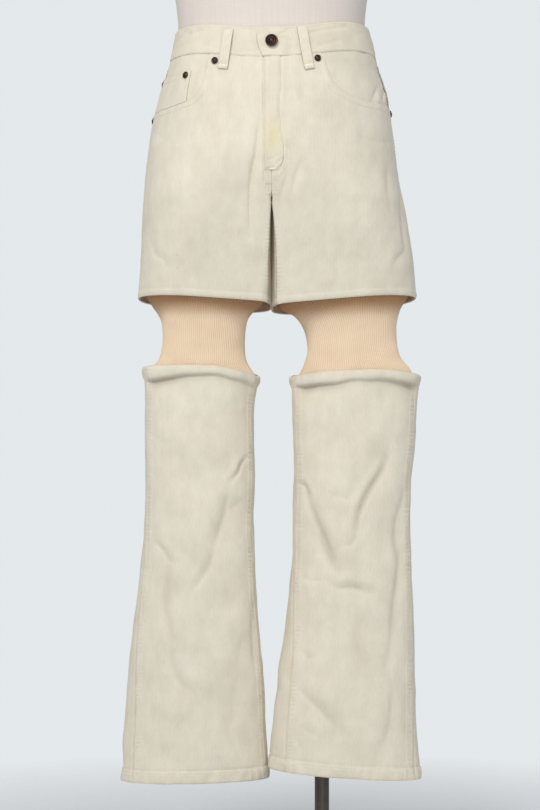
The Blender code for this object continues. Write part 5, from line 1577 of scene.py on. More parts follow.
def make_front(leg, word):
    """A front thigh: its waist seam, pocket's edge, fly seam, crotch and folded rim."""
    opening = SCOOP[leg.side][0][0]
    steep_end = SCOOP[leg.side][2][0]
    finer = np.concatenate([np.linspace(opening - 0.004, steep_end, SCOOP_SAMPLES),
                            np.linspace(0.005, INNER_SHARE, INSIDE_COLUMNS)])
    shares = even_shares(float(front_width(leg, FRONT_LEVEL)), finer)
    heights = thigh_rows(leg, scoop_height(leg, shares), shares)
    cloth = make_grid(leg, heights, thigh_seams(leg), shares, wrapped=True)
    height = ground(cloth) + seam_shape(cloth) + rim_shape(cloth) + scoop_lift(leg, cloth)
    height += thighs_touch(leg, cloth)
    height += np.where(cloth.shares < opening, 1.0, 0.0) * edge_roll(cloth.down, *OPEN_TOP_ROLL)
    height += roped(leg, cloth)
    if leg.side > 0:
        height += fly_step(cloth)
    sewn = FLY_CURVES if leg.side > 0 else CROTCH_STITCHES
    height += drawn_lines(leg, cloth, sewn if leg.side > 0 else (*sewn, FLY_EDGE))
    name = "front_" + word
    shaped = add_piece(name, cloth, height, thigh_wall(cloth, leg), thigh_marks(leg, cloth))
    for away in SCOOP_STITCHES:
        stitch(name, on_cloth(shaped, *scoop_line(leg, away, 0.02, 0.99)))
    for path in sewn:
        stitch(name, beside_centre(shaped, path))


def make_back(leg, word):
    """A back thigh and the yoke above it."""
    width = float(front_width(leg, BACK_LEVEL)) * BACK_FULLNESS
    inside = np.linspace(0.005, INNER_SHARE, BACK_INSIDE_COLUMNS)
    shares = even_shares(width, inside, BACK_GRID)
    low_edge = yoke_height(shares)
    cloth = make_grid(leg, thigh_rows(leg, low_edge, shares), thigh_seams(leg, +1), shares,
                      wrapped=True)
    height = ground(cloth) + seam_shape(cloth) + rim_shape(cloth) + thighs_touch(leg, cloth)
    height += edge_roll(cloth.down, *TOP_ROLL)
    name = "back_" + word
    shaped = add_piece(name, cloth, height, thigh_wall(cloth, leg), thigh_marks(leg, cloth))
    for away in YOKE_STITCHES:
        stitch(name, level_line(shaped, away))
    yoke = make_grid(leg, rows_between(WAIST_SEAM, low_edge, YOKE_DROP_CENTRE),
                     thigh_seams(leg, +1), shares)
    low = yoke.down[-1] - yoke.down
    height = ground(yoke) + seam_shape(yoke)
    height += edge_roll(yoke.down, *TOP_ROLL) + edge_roll(low, *HEAVY_ROLL)
    add_piece("yoke_" + word, yoke, height, CLOTH_WALL, seam_marks(yoke))


def make_facing(leg, word):
    """The pocket's inner cloth, seen above its edge."""
    first, second = (SCOOP[leg.side][k][0] for k in (0, 1))
    start = first - FACING_START
    shares = start + (1 - start) * even_shares(FACING_WIDTH)
    low = scoop_height(leg, np.maximum(shares, second)) - FACING_UNDERLAP
    heights = rows_between(WAIST_SEAM, low, FACING_LENGTH)
    cloth = make_grid(leg, heights, thigh_seams(leg), shares)
    high, deep = FACING_DEPTHS
    depth = high + (deep - high) * step_up(cloth.down, 0.0, FACING_SLOPE)
    height = ground(cloth) + seam_shape(cloth, inner=False) - depth
    add_piece("pocket_facing_" + word, cloth, height, PATCH_WALL, seam_marks(cloth, inner=False))


# ---- Calves and knits -----------------------------------------------------------------------

class Gather(NamedTuple):
    """A calf's gathered top at one place between its seams."""

    share: float    # of the way from the inner seam to the outer seam
    drop: float     # millimetres that the top edge lies below its highest level
    below: float    # millimetres from the edge down to the dent under its roll
    dent: float     # millimetres that the dent is deep
    width: float    # millimetres; below its line it is half as deep after 1.5 of these


GATHERS = {
    -1: (Gather(0.00, 15.0, 17, 2.0, 5.0), Gather(0.10, 11.0, 17, 3.0, 5.5),
         Gather(0.25, 6.2, 15.5, 3.6, 5.5), Gather(0.42, 1.0, 14.5, 4.4, 5.5),
         Gather(0.58, 0.0, 15.5, 5.2, 5.5), Gather(0.82, 0.0, 20.5, 8.0, 6.0),
         Gather(1.00, 0.0, 21, 6.0, 6.5)),
    +1: (Gather(0.00, 5.4, 18, 4.5, 5.0), Gather(0.12, 3.0, 19, 7.5, 5.5),
         Gather(0.30, 0.5, 18.5, 6.5, 6.0), Gather(0.46, 0.0, 17, 3.8, 5.5),
         Gather(0.65, 0.0, 16, 4.2, 6.0), Gather(0.87, 4.2, 17.5, 7.5, 6.0),
         Gather(1.00, 6.0, 17, 5.0, 6.0)),
}


GATHER_ENDS = 0.09          # share of the width over which it fades in beside each seam
GATHER_WANDER = 0.0005      # how far the dent's line wanders up and down
GATHER_CRIMP = 0.0002       # height of the little wrinkles along the top edge
GATHER_ROLL = 0.0018        # height of the roll between the top edge and the dent
GATHER_TURN = 0.0050        # how far down its edge turns in
GATHER_TUCK = 0.0055        # and how deep
DEEPEST_DENT = 0.0075


def gather_at(leg, shares):
    """The gathers' sizes in metres at shares across, as a Gather of arrays."""
    table = np.array(GATHERS[leg.side], float)
    sizes = smooth_rows(table[:, 0], table[:, 1:] * MM, shares)
    return Gather(shares, *np.moveaxis(sizes, -1, 0))


def gathered_top(cloth):
    """The soft roll of a calf's top edge and the crease under it; also the painted shade under the
    roll.
    """
    size = gather_at(cloth.leg, cloth.shares)
    ends = step_up(cloth.shares, 0.0, GATHER_ENDS) * step_up(1 - cloth.shares, 0.0, GATHER_ENDS)
    wander = GATHER_WANDER * waves(cloth.points, 43, 0.060, 0.025, (1, 1, 0.2))
    past = cloth.down - size.below + wander
    fall = np.where(past > 0, np.exp(-(past / (2.0 * size.width)) ** 1.2),
                    np.exp(-np.abs(past / 0.0022) ** 1.5))
    roll = GATHER_ROLL * bell(cloth.down - 0.50 * size.below, 0.42 * size.below)
    turn = np.clip(1 - cloth.down / GATHER_TURN, 0, 1)
    crimp = GATHER_CRIMP * waves(cloth.points, 45, 0.016, 0.008, (1, 1, 0.15))
    height = (ends * (roll - size.dent * fall) - GATHER_TUCK * (1 - np.sqrt(1 - turn ** 2))
              + crimp * bell(cloth.down, 0.012))
    # painted shade under the roll, strongest where the dent is deepest
    painted_shade = bell(past, np.where(past > 0, DEEPEST_DENT, 0.0030))
    painted_shade *= ends * (size.dent / DEEPEST_DENT) ** 1.5
    return height, painted_shade


FELLED = {                  # distances inside the outline: the inner seam's, the outer seam's
    -1: ((0.0026, 0.0072), (0.0030, 0.0088)),
    +1: ((0.0036, 0.0100), (0.0040, 0.0105)),
}
HEM_STITCHES = (0.0120, 0.0150)
SLACK = 0.0009              # of the calves' cloth, away from its seams
SLACK_EDGE = 0.022


def calf_marks(cloth, lie, painted_roll_shade):
    """Tan at a calf's seams and its worn hem, and painted shade in its deep creases and under its
    top roll.
    """
    marks = seam_marks(cloth)
    worn_edge = 0.5 * bell(cloth.down[-1] - cloth.down, 0.003)
    marks["wear_and_shade"] = np.clip(marks["wear_and_shade"] + worn_edge, 0, 1)
    # painted shade in the deep fold valleys
    deep = np.clip(-(lie + 0.0008) / 0.004, 0, 1)
    marks["painted_shade"] = np.clip(painted_roll_shade + 0.70 * deep, 0, 1)
    return marks


def make_calf(leg, word):
    """The front and back of a calf, from its gathered top to its hem."""
    top, bottom = leg.sections[0].z, leg.sections[-1].z
    for face, side in ((-1, "front"), (+1, "back")):
        seams = calf_seams(leg, face)
        levels = np.linspace(bottom, top, 5)
        width = float(angle_table(leg, levels, seams, np.zeros(1))[2].max())
        shares = even_shares(width, spacing=GRID if face < 0 else BACK_GRID)
        heights = rows_between(top - gather_at(leg, shares).drop, bottom, top - bottom)
        cloth = make_grid(leg, heights, seams, shares)
        gathered, painted_roll_shade = gathered_top(cloth)
        lie = ground(cloth)
        height = lie + seam_shape(cloth, 0.2) + gathered
        felled = tuple(zip((False, True), FELLED[leg.side])) if face < 0 else ()
        for outer, (near, far) in felled:
            height += felled_shape(cloth, outer, near, far)
        height += hem_shape(cloth)
        inside = 1 - bell(np.minimum(cloth.arcs, cloth.widths - cloth.arcs), SLACK_EDGE)
        height += SLACK * inside * waves(cloth.points, 47, 0.090, 0.040)
        in_hem = 1 - step_up(heights - bottom, HEM_DEPTH - EASE, HEM_DEPTH + EASE)
        name = f"calf_{side}_{word}"
        shaped = add_piece(name, cloth, height, CLOTH_WALL + HEM_WALL * in_hem,
                           calf_marks(cloth, lie, painted_roll_shade))
        for away in HEM_STITCHES:
            stitch(name, level_line(shaped, away, 0.004, 0.996, from_bottom=True))
        for outer, lines in felled:
            for away in lines:
                stitch(name, felled_line(shaped, away, outer, 0.03, 0.998))


RIBS = {-1: 116, +1: 118}   # ribs round each knit insert
RIB_STEPS = 6               # columns for each rib
RIB_HEIGHT = 0.00042
KNIT_ROWS = 43
KNIT_SEAM = {-1: 0.038, +1: 0.994}      # its seam's place, as a share of the way round
KNIT_SEAM_EDGE = 0.0032     # from the seam's middle to the groove beside it
KNIT_SEAM_RISE = 0.0006
KNIT_INSET = 0.0050         # how far the knit is drawn in under the calf at its sides
KNIT_INSET_BETWEEN = 0.0095 # and how much further between them


RIB_WANDER = 0.10           # how far a rib wanders sideways, in ribs
KNIT_SEAM_SIDES = (0.0026, 0.0036)      # from its middle: its flat part ends, the ribs begin
KNIT_UNDULATION = 0.0004
KNIT_TONES = (0.75, 0.8)    # how light its seam is painted, and how dark the painted shade in the groove beside it
KNIT_SHADE = (0.0005, 0.0190)           # how far below a thigh's rim the painted shadow is full, and gone


def rib_shape(cloth, count):
    """Ribs as rounded ridges; returns their height and how near each point is to a crest, which sets
    the crests' painted light and the furrows' painted shade.
    """
    wander = RIB_WANDER * waves(cloth.points, 19, 0.09, 0.03, (1, 1, 0.6), 10)
    crest = np.cos(TURN * (cloth.shares * count + wander))
    return RIB_HEIGHT * crest, 0.5 + 0.5 * crest


KNIT_INSET_SHARE = 0.10     # share of the width over which it is drawn in further
KNIT_INSET_LEVELS = (-0.0130, 0.0005)   # from the calf's top edge: drawn in, and not yet


def under_calf(leg, cloth):
    """How much the knit is drawn in, from just above the calf's top edge down."""
    size = sizes_at(leg, cloth.heights)
    share = np.clip((np.abs(cloth.points[..., 0]) - size.inner) / (size.outer - size.inner), 0, 1)
    edge = leg.sections[0].z - gather_at(leg, share).drop
    between = step_up(np.minimum(share, 1 - share), 0.0, KNIT_INSET_SHARE)
    inset = KNIT_INSET + KNIT_INSET_BETWEEN * between
    return inset * (1 - step_up(cloth.heights - edge, *KNIT_INSET_LEVELS))


def make_knit(leg, thigh, calf, word):
    """The ribbed insert between a thigh and a calf."""
    count = RIBS[leg.side]
    shares = np.arange(count * RIB_STEPS) / (count * RIB_STEPS)
    level = np.linspace(leg.sections[0].z, leg.sections[-1].z, KNIT_ROWS)
    heights = np.repeat(level[:, None], len(shares), 1)
    cloth = make_grid(leg, heights, ALL_ROUND, shares)
    ribs, crest = rib_shape(cloth, count)
    away = np.abs((cloth.shares - KNIT_SEAM[leg.side] + 0.5) % 1 - 0.5) * cloth.widths
    flat = 1 - step_up(away, *KNIT_SEAM_SIDES)
    height = ribs * (1 - flat) + KNIT_SEAM_RISE * flat + relief(away, KNIT_SEAM_GROOVE)
    height += KNIT_UNDULATION * waves(cloth.points, 23, 0.06, 0.02)
    height -= under_calf(calf, cloth)
    light, dark = KNIT_TONES
    # painted light on the crests and the seam, painted shade in the furrows and in the groove beside
    # the seam
    painted_rib_shading = crest * (1 - flat) + light * flat - dark * bell(away - KNIT_SEAM_EDGE, 0.0006)
    # painted shadow of the thigh's rim, full at the rim and gone further down
    painted_shade = 1 - step_up(thigh.sections[-1].z - heights, *KNIT_SHADE)
    add_piece("knit_" + word, cloth, height, KNIT_WALL,
              {"painted_rib_shading": np.clip(painted_rib_shading, 0, 1), "painted_shade": painted_shade}, "beige_knit", ring=True)


# ---- The front: fly, coin pocket, waistband, loops ------------------------------------------

# The fly lies on the wearer's left front and passes the centre: height, right edge, left edge.
FLY_ROWS = (
    (1.1510, -0.0105, 0.0170), (1.1250, -0.0103, 0.0175), (1.0950, -0.0102, 0.0180),
    (1.0650, -0.0101, 0.0175), (1.0400, -0.0101, 0.0178), (1.0220, -0.0101, 0.0178),
    (1.0080, -0.0100, 0.0165), (0.9960, -0.0098, 0.0130), (0.9880, -0.0096, 0.0060),
)
FLY_SPACING = 0.0016
FLY_LIFT = 0.0017           # how far the fly stands off the front at its right edge
FLY_SLOPE = 0.0009          # how much lower it lies near the line where it meets the left front
FLY_SINK = 0.0030           # and how much lower again beyond that line
FLY_SLOPE_ENDS = (-0.008, -0.001)       # where that slope begins and ends, from the line
FLY_SINK_ENDS = (-0.0006, 0.0012)       # and where it sinks
FLY_PULL = 0.00012          # height of the puckers beside the line
# Short creases across the fly's end: two ends (x, z), depth and width in millimetres.
FLY_CREASES = (
    ((0.0120, 1.0080), (-0.0030, 1.0005), 0.7, 1.2),
    ((0.0150, 1.0030), (0.0045, 0.9945), 0.7, 1.2),
    ((0.0035, 0.9912), (-0.0070, 0.9885), 1.0, 1.3),
    ((-0.0090, 1.0300), (-0.0020, 1.0240), 0.4, 1.5),
    ((0.0100, 1.0550), (0.0020, 1.0480), 0.3, 2.0),
)
# The right back pocket's, or the left's: height, and distances of its edges from the centre.
BACK_POCKET_ROWS = (
    (1.0700, 0.0330, 0.1400), (1.0400, 0.0345, 0.1390), (1.0110, 0.0361, 0.1378),
    (0.9840, 0.0377, 0.1362), (0.9610, 0.0395, 0.1346), (0.9410, 0.0760, 0.1000),
)
BACK_POCKET_LIFT = 0.0021
BACK_POCKET_HEM = 0.0160
BACK_POCKET_RISE = 0.0004   # how much it is fuller where its hem is folded
BACK_POCKET_FOLD = (0.015, 0.018)       # where that ends
BACK_POCKET_STITCHES = (0.0018, 0.0075)
BACK_POCKET_CORNER = 0.845  # share of the way down of the corners above its point


def creases(x, z, table):
    """Height of short straight creases at places x, z."""
    height = np.zeros(np.broadcast(x, z).shape)
    for (ax, az), (bx, bz), depth, breadth in table:
        run_x, run_z = bx - ax, bz - az
        along = np.clip(((x - ax) * run_x + (z - az) * run_z) / (run_x ** 2 + run_z ** 2), 0, 1)
        away = np.hypot(x - ax - run_x * along, z - az - run_z * along)
        height += relief(away, (-depth, 0.0, breadth))
    return height


def patch_grid(rows, side, spacing, face):
    """A patch on the hips; each row is a height and the distances of its two edges."""
    z, a, b = np.array(rows, float).T
    parts = even_parts(z[0] - z[-1], spacing)
    level = z[0] + (z[-1] - z[0]) * parts
    first = np.interp(-level, -z, side * a)
    last = np.interp(-level, -z, side * b)
    shares = even_shares(float(np.abs(last - first).max()))
    x = first[:, None] + (last - first)[:, None] * shares
    points, normals = front_place(np.repeat(level[:, None], len(shares), 1), x, face)
    widths = np.linalg.norm(np.diff(points, axis=1), axis=-1).sum(1)[:, None]
    crosses_centre = np.sign(first).min() != np.sign(last).max()
    leg = None if crosses_centre else LEFT_THIGH if side > 0 else RIGHT_THIGH
    return cloth_of(leg, points, normals, shares, widths, level), x


def make_fly():
    """The fly: proud along its edge on the right, and sunk under the left front past its line."""
    cloth, x = patch_grid(FLY_ROWS, 1, FLY_SPACING, -1)
    line_x, line_z = smooth_path(FLY_LINE, FLY_LINE_STEP).T
    beyond = x - np.interp(-cloth.heights, -line_z, line_x)
    from_right = cloth.arcs
    height = ground(cloth) + FLY_LIFT - FLY_SLOPE * step_up(beyond, *FLY_SLOPE_ENDS)
    height -= FLY_SINK * step_up(beyond, *FLY_SINK_ENDS)
    height += edge_roll(from_right, *FLY_ROLL)
    height += FLY_PULL * np.cos(TURN * x / FLY_PUCKER) * bell(beyond + 0.01, 0.01)
    height += creases(x, cloth.heights, FLY_CREASES)
    height += relief(from_right, FLY_GROOVE)
    # a dark line painted along the fly's right edge, as painted shadow of its step
    marks = {"wear_and_shade": 0.9 * bell(from_right, 0.0016)}
    shaped = add_piece("fly", cloth, height, PATCH_WALL, marks)
    stitch("fly", seam_line(shaped, 0.0018, False, 0.01, 0.995), radius=0.00026)


def make_back_pocket(word, side):
    """A patch pocket with a hem at its top and a point at its bottom."""
    cloth, _ = patch_grid(BACK_POCKET_ROWS, side, ROW, +1)
    across = np.minimum(cloth.shares, 1 - cloth.shares) * cloth.widths
    rise = cloth.down[-1] - cloth.down
    height = ground(cloth) + BACK_POCKET_LIFT
    height = height + edge_roll(across) + edge_roll(rise) + edge_roll(cloth.down)
    height += relief(cloth.down, BACK_POCKET_GROOVE)
    height += BACK_POCKET_RISE * (1 - step_up(cloth.down, *BACK_POCKET_FOLD))
    name = "back_pocket_" + word
    shaped = add_piece(name, cloth, height, PATCH_WALL, seam_marks(cloth, reach=0.002))
    for away in BACK_POCKET_STITCHES:
        for outer in (False, True):
            stitch(name, seam_line(shaped, away, outer, 0.01, BACK_POCKET_CORNER))
            stitch(name, seam_line(shaped, away, outer, BACK_POCKET_CORNER, 0.985))
        stitch(name, level_line(shaped, away, 0.06, 0.94, from_bottom=True))
    stitch(name, level_line(shaped, BACK_POCKET_HEM, 0.02, 0.98))


COIN_SHARES = (0.545, 0.965)            # its two sides, as shares of the front's width
COIN_TOP = (1.1295, 1.1255)             # and its top's heights there
COIN_WIDTH = 0.095
COIN_LENGTH = 0.045
COIN_DEPTH = 0.0011                     # how far it lies under the front
COIN_RISE = 0.0003                      # how much it is fuller where its hem is folded
COIN_FOLD = (0.0085, 0.0115)            # where that ends
COIN_TRIM = 0.0006                      # how far it ends above the right pocket's edge
COIN_TOP_STITCHES = (0.0022, 0.0088)
COIN_SIDE_STITCHES = (0.0020, 0.0070)
COIN_SAMPLES = 80


def make_coin_pocket():
    """The little pocket inside the right one; it ends at that one's edge."""
    leg = RIGHT_THIGH
    first, last = COIN_SHARES
    shares = first + (last - first) * even_shares(COIN_WIDTH)
    top = np.interp(shares, COIN_SHARES, COIN_TOP)
    heights = rows_between(top, scoop_height(leg, shares) + COIN_TRIM, COIN_LENGTH)
    cloth = make_grid(leg, heights, thigh_seams(leg), shares)
    inner = (cloth.shares - first) * cloth.widths
    outer = (last - cloth.shares) * cloth.widths
    height = ground(cloth) - COIN_DEPTH
    for away in (inner, outer, cloth.down):
        height = height + edge_roll(away)
    height += COIN_RISE * (1 - step_up(cloth.down, *COIN_FOLD))
    shaped = add_piece("coin_pocket", cloth, height, PATCH_WALL,
                       {"wear_and_shade": 0.5 * bell(cloth.down, 0.002)})
    for away in COIN_TOP_STITCHES:
        stitch("coin_pocket", level_line(shaped, away, 0.02, 0.98))
    z = np.linspace(cloth.heights[0, 0] - 0.001, cloth.heights[-1, 0] + 0.001, COIN_SAMPLES)
    for away in COIN_SIDE_STITCHES:
        share = np.full(COIN_SAMPLES, first + away / cloth.widths[0, 0])
        stitch("coin_pocket", on_cloth(shaped, share, z))


# The tab's end: share of the way down the waistband and distance past the centre.
TAB_END = ((0.0, 0.0148), (0.27, 0.0196), (0.63, 0.0178), (1.0, 0.0117))
# Creases of the waistband at the front: two ends (x, z), depth and width in millimetres.
BAND_CREASES = (
    ((0.0085, 1.1800), (0.0190, 1.1830), 1.1, 1.1),
    ((0.0090, 1.1755), (0.0270, 1.1705), 0.9, 1.6),
    ((0.0050, 1.1900), (0.0230, 1.1850), 0.7, 1.8),
    ((0.0090, 1.1690), (0.0160, 1.1640), 0.6, 1.2),
    ((-0.1290, 1.1640), (-0.1110, 1.1790), 1.6, 2.4),
    ((-0.1110, 1.1790), (-0.0950, 1.1820), 1.3, 2.4),
    ((-0.1300, 1.1740), (-0.1190, 1.1850), 1.0, 1.8),
    ((-0.0420, 1.1560), (-0.0180, 1.1600), 0.7, 2.2),
    ((-0.0330, 1.1860), (-0.0120, 1.1800), 0.7, 2.4),
    ((0.0620, 1.1600), (0.0900, 1.1650), 0.8, 2.4),
    ((0.0520, 1.1790), (0.0980, 1.1830), 1.0, 2.2),
    ((0.1010, 1.1840), (0.1180, 1.1740), 1.2, 2.4),
    ((-0.0880, 1.1620), (-0.0720, 1.1580), 0.8, 2.2),
)


BAND_ROW = 0.0022
BAND_COLUMN = 0.0022
BAND_TURNS = 400            # samples of each leg's half of the waist
HIDDEN_END = (0.0080, 0.0060, 0.0040, 0.0020)       # the columns under the tab, on the left
TAB_START = 0.0300          # distance from the centre where the tab begins to lift
TAB_COLUMNS = 30
TAB_LIFT = BAND_WALL + 0.0003
BAND_STITCHES = (0.0026, 0.0022)        # below its top and above its bottom edge
TAB_STITCHES = 0.0022       # and inside the tab's end
TAB_RISE = 0.35             # share of the tab over which it lifts
BAND_UNDULATION = 0.00028
BAND_CRIMP = 0.00014        # of its top edge


def round_waist(leg, start, end):
    """Evenly spaced angles round a leg's half of the waist seam."""
    turns = np.linspace(start, end, BAND_TURNS)
    along = distances(smooth_point(leg, np.full(BAND_TURNS, WAIST_SEAM), turns))
    return np.interp(np.arange(0, along[-1], BAND_COLUMN), along, turns)


def band_grid():
    """The waistband's strip, from its hidden end round to the end of the tab over it."""
    parts = even_parts(BAND_TOP - WAIST_SEAM, BAND_ROW)
    level = BAND_TOP + (WAIST_SEAM - BAND_TOP) * parts
    columns, lifts = [], []

    def at_x(x, lift):
        columns.append(front_place(level, np.broadcast_to(x, level.shape)))
        lifts.append(lift)

    def at_angles(leg, angles):
        for angle in angles:
            columns.append((smooth_point(leg, level, angle), smooth_normal(leg, level, angle)))
            lifts.append(0.0)

    for x in HIDDEN_END:
        at_x(x, 0.0)
    tab = float(angle_at_x(LEFT_THIGH, WAIST_SEAM, TAB_START))
    at_angles(RIGHT_THIGH, round_waist(RIGHT_THIGH, -90, 90))
    at_angles(LEFT_THIGH, [*round_waist(LEFT_THIGH, 90, tab)[:-1], tab])
    share, past = np.array(TAB_END).T
    reach = -smooth_rows(share, past[:, None], parts)[:, 0]
    first = smooth_point(LEFT_THIGH, level, tab)[:, 0]
    for t in make_odd(np.linspace(0, 1, TAB_COLUMNS))[1:]:
        at_x(first + (reach - first) * t, TAB_LIFT * float(step_up(t, 0.0, TAB_RISE)))
    if len(columns) % 2 == 0:
        del columns[1], lifts[1]
    points, normals = (np.stack(part, axis=1) for part in zip(*columns))
    steps = np.linalg.norm(np.diff(points, axis=1), axis=-1).mean(0)
    along = np.concatenate([[0], np.cumsum(steps)])
    shares = along / along[-1]
    return cloth_of(None, points, normals, shares, along[-1], level), np.array(lifts)


def make_waistband():
    """The waistband, whose tab crosses the centre over its own hidden end."""
    cloth, lifts = band_grid()
    low = cloth.down[-1] - cloth.down
    ends = np.minimum(cloth.shares, 1 - cloth.shares) * cloth.widths
    height = np.repeat(lifts[None], len(cloth.points), 0)
    for away, roll in zip((cloth.down, low, ends), BAND_ROLLS):
        height = height + edge_roll(away, *roll)
    height += BAND_UNDULATION * waves(cloth.points, 31, 0.060, 0.018, (1, 1, 1.6))
    crimp = BAND_CRIMP * waves(cloth.points, 33, 0.016, 0.007, (1, 1, 0.5))
    height += crimp * bell(cloth.down, 0.009)
    height += (cloth.points[..., 1] < 0) * creases(cloth.points[..., 0], cloth.heights,
                                                   BAND_CREASES)
    wear_and_shade = 0.35 * bell(cloth.down, 0.0025) + 0.45 * bell(low, 0.0015)
    # the whole band painted a little darker, as painted shade, with random tone on it
    wear_and_shade += 0.15 + 0.06 * waves(cloth.points, 35, 0.05, 0.015)
    shaped = add_piece("waistband", cloth, height, BAND_WALL, {"wear_and_shade": np.clip(wear_and_shade, 0, 1)})
    for away, from_bottom in zip(BAND_STITCHES, (False, True)):
        stitch("waistband", level_line(shaped, away, 0.012, 0.998, from_bottom))
    stitch("waistband", seam_line(shaped, TAB_STITCHES, True, 0.07, 0.93))


class Loop(NamedTuple):
    """A belt loop; its middle line runs from a top angle to a bottom angle."""

    name: str
    leg: Leg
    top_angle: float
    bottom_angle: float
    top: float              # heights of its ends
    bottom: float


LOOP_WIDTH = 0.0135
LOOP_ROW = 0.0012
LOOP_COLUMNS = 17
LOOP_STITCHES = (3.4, 12.6)             # the columns along which it is stitched
LOOP_TACK = 0.895           # share of the way down of its bar tack
LOOP_SAMPLES = 200          # along each of its rows of stitches
LOOP_UNDULATION = 0.00020
TACK_STITCHES = 26
TACK_LIFT = 0.0001
TACK_RADIUS = 0.00030
# How far a loop stands off the waistband: share of the way down and height.
LOOP_LIFTS = (
    (0.0, 0.0014), (0.05, 0.0022), (0.14, 0.0034), (0.32, 0.0040), (0.62, 0.0039),
    (0.80, 0.0034), (0.89, 0.0023), (0.955, 0.0032), (1.0, 0.0026),
)
LOOP_ENDS = (1.19, 1.13)    # the heights at which the front loops' distances are given


def front_loop(leg, word, top_x, bottom_x, top, bottom):
    angles = [float(angle_at_x(leg, z, x)) for z, x in zip(LOOP_ENDS, (top_x, bottom_x))]
    return Loop("belt_loop_front_" + word, leg, *angles, top, bottom)


LOOPS = (
    front_loop(RIGHT_THIGH, "right", 0.0570, 0.0650, 1.1855, 1.1308),
    front_loop(LEFT_THIGH, "left", 0.0400, 0.0505, 1.1890, 1.1295),
    Loop("belt_loop_side_right", RIGHT_THIGH, 24.0, 24.0, 1.1890, 1.1335),
    Loop("belt_loop_side_left", LEFT_THIGH, 12.0, 12.0, 1.1890, 1.1335),
    Loop("belt_loop_back", LEFT_THIGH, 90.0, 90.0, 1.1890, 1.1335),
)


def make_loop(loop):
    """A folded strip that stands off the waistband, bar-tacked near its lower end."""
    parts = even_parts(loop.top - loop.bottom, LOOP_ROW)
    across = np.linspace(-0.5, 0.5, LOOP_COLUMNS)
    z = loop.top + (loop.bottom - loop.top) * parts
    middle = loop.top_angle + (loop.bottom_angle - loop.top_angle) * parts
    centre, normal = smooth_point(loop.leg, z, middle), smooth_normal(loop.leg, z, middle)
    side = unit(np.cross(np.gradient(centre, axis=0), normal))
    if side[0, 0] < 0:
        side = -side
    points = centre[:, None] + side[:, None] * (across * LOOP_WIDTH)[None, :, None]
    normals = np.repeat(normal[:, None], LOOP_COLUMNS, 1)
    cloth = cloth_of(None, points, normals, across + 0.5, LOOP_WIDTH, z)
    share, lift = np.array(LOOP_LIFTS).T
    edge = (0.5 - np.abs(across)) * LOOP_WIDTH
    height = smooth_rows(share, lift[:, None], parts) + relief(edge, LOOP_GROOVE)
    for away, roll in zip((edge, cloth.down[-1] - cloth.down), LOOP_ROLLS):
        height = height + edge_roll(away, *roll)
    height += LOOP_UNDULATION * waves(points, 41, 0.03, 0.008)
    wear_and_shade = 0.25 * bell(edge, 0.001) + 0.5 * bell(parts[:, None] - 0.90, 0.025)
    shaped = add_piece(loop.name, cloth, height, LOOP_WALL, {"wear_and_shade": wear_and_shade})
    rows = np.linspace(2, len(parts) - 3, LOOP_SAMPLES)
    for column in LOOP_STITCHES:
        line = spots(shaped, rows, np.full(len(rows), column))
        stitch(loop.name, line, pitch=0.0027, length=0.0021, radius=0.00026)
    bar_tack(loop.name, shaped, LOOP_TACK * (len(parts) - 1))


TACK_INSET = 1.2            # columns from a strip's edges to its first and last stitch
TACK_SLANT = (1.1, 0.12)    # rows and columns from a stitch's middle to its end


def bar_tack(name, cloth, row):
    """Close slanting stitches across a strip."""
    last = cloth.points.shape[1] - 1 - TACK_INSET
    columns = np.linspace(TACK_INSET, last, TACK_STITCHES)
    row = np.full(TACK_STITCHES, row)
    up = sample(cloth.normals, row, columns)
    down, across = TACK_SLANT
    starts, ends = (sample(cloth.points, row + side * down, columns + side * across)
                    + up * TACK_LIFT for side in (-1.0, 1.0))
    threads_of(name).add(starts, ends, up, TACK_RADIUS)


# ---- Hardware and the form ------------------------------------------------------------------

def on_surface(leg, z, angle, lift):
    """Origin and axis of a fitting that stands on the cloth."""
    z, angle = np.array([float(z)]), np.array([float(angle)])
    normal = smooth_normal(leg, z, angle)[0]
    return smooth_point(leg, z, angle)[0] + normal * lift, normal


# Profiles as (radius, height).
BUTTON = (
    (0.0, 0.0), (0.0074, 0.0), (0.0083, 0.0006), (0.0085, 0.0014), (0.0082, 0.0022),
    (0.0076, 0.0027), (0.0069, 0.0026), (0.0064, 0.0020), (0.0060, 0.0017), (0.0055, 0.0020),
    (0.0050, 0.0024), (0.0044, 0.0021), (0.0036, 0.0019), (0.0031, 0.0023), (0.0024, 0.0029),
    (0.0014, 0.0032), (0.0, 0.0033),
)
BUTTON_BEADS = (0.0060, 22, 0.00022)
BUTTON_LIFT = 2 * BAND_WALL + 0.0006
RIVET = (
    (0.0, 0.0), (0.0044, 0.0), (0.0047, 0.0004), (0.0046, 0.0010), (0.0041, 0.0013),
    (0.0036, 0.0010), (0.0030, 0.0009), (0.0024, 0.0013), (0.0016, 0.0019), (0.0008, 0.0021),
    (0.0, 0.0021),
)


class Rivet(NamedTuple):
    """A rivet on a front, placed from the centre or from the outer seam."""

    name: str
    leg: Leg
    z: float
    from_seam: bool
    away: float
    lift: float


RIVETS = (
    Rivet("rivet_top_right", RIGHT_THIGH, 1.1420, False, 0.0760, 0.0003),
    Rivet("rivet_top_left", LEFT_THIGH, 1.1440, False, 0.0615, 0.0003),
    Rivet("rivet_corner_right", RIGHT_THIGH, 1.0675, True, 0.0080, 0.0004),
    Rivet("rivet_corner_left", LEFT_THIGH, 1.0755, True, 0.0080, 0.0004),
    Rivet("rivet_coin_inner", RIGHT_THIGH, 1.1235, False, 0.1165, -0.0008),
    Rivet("rivet_coin_outer", RIGHT_THIGH, 1.1195, True, 0.0200, -0.0008),
)


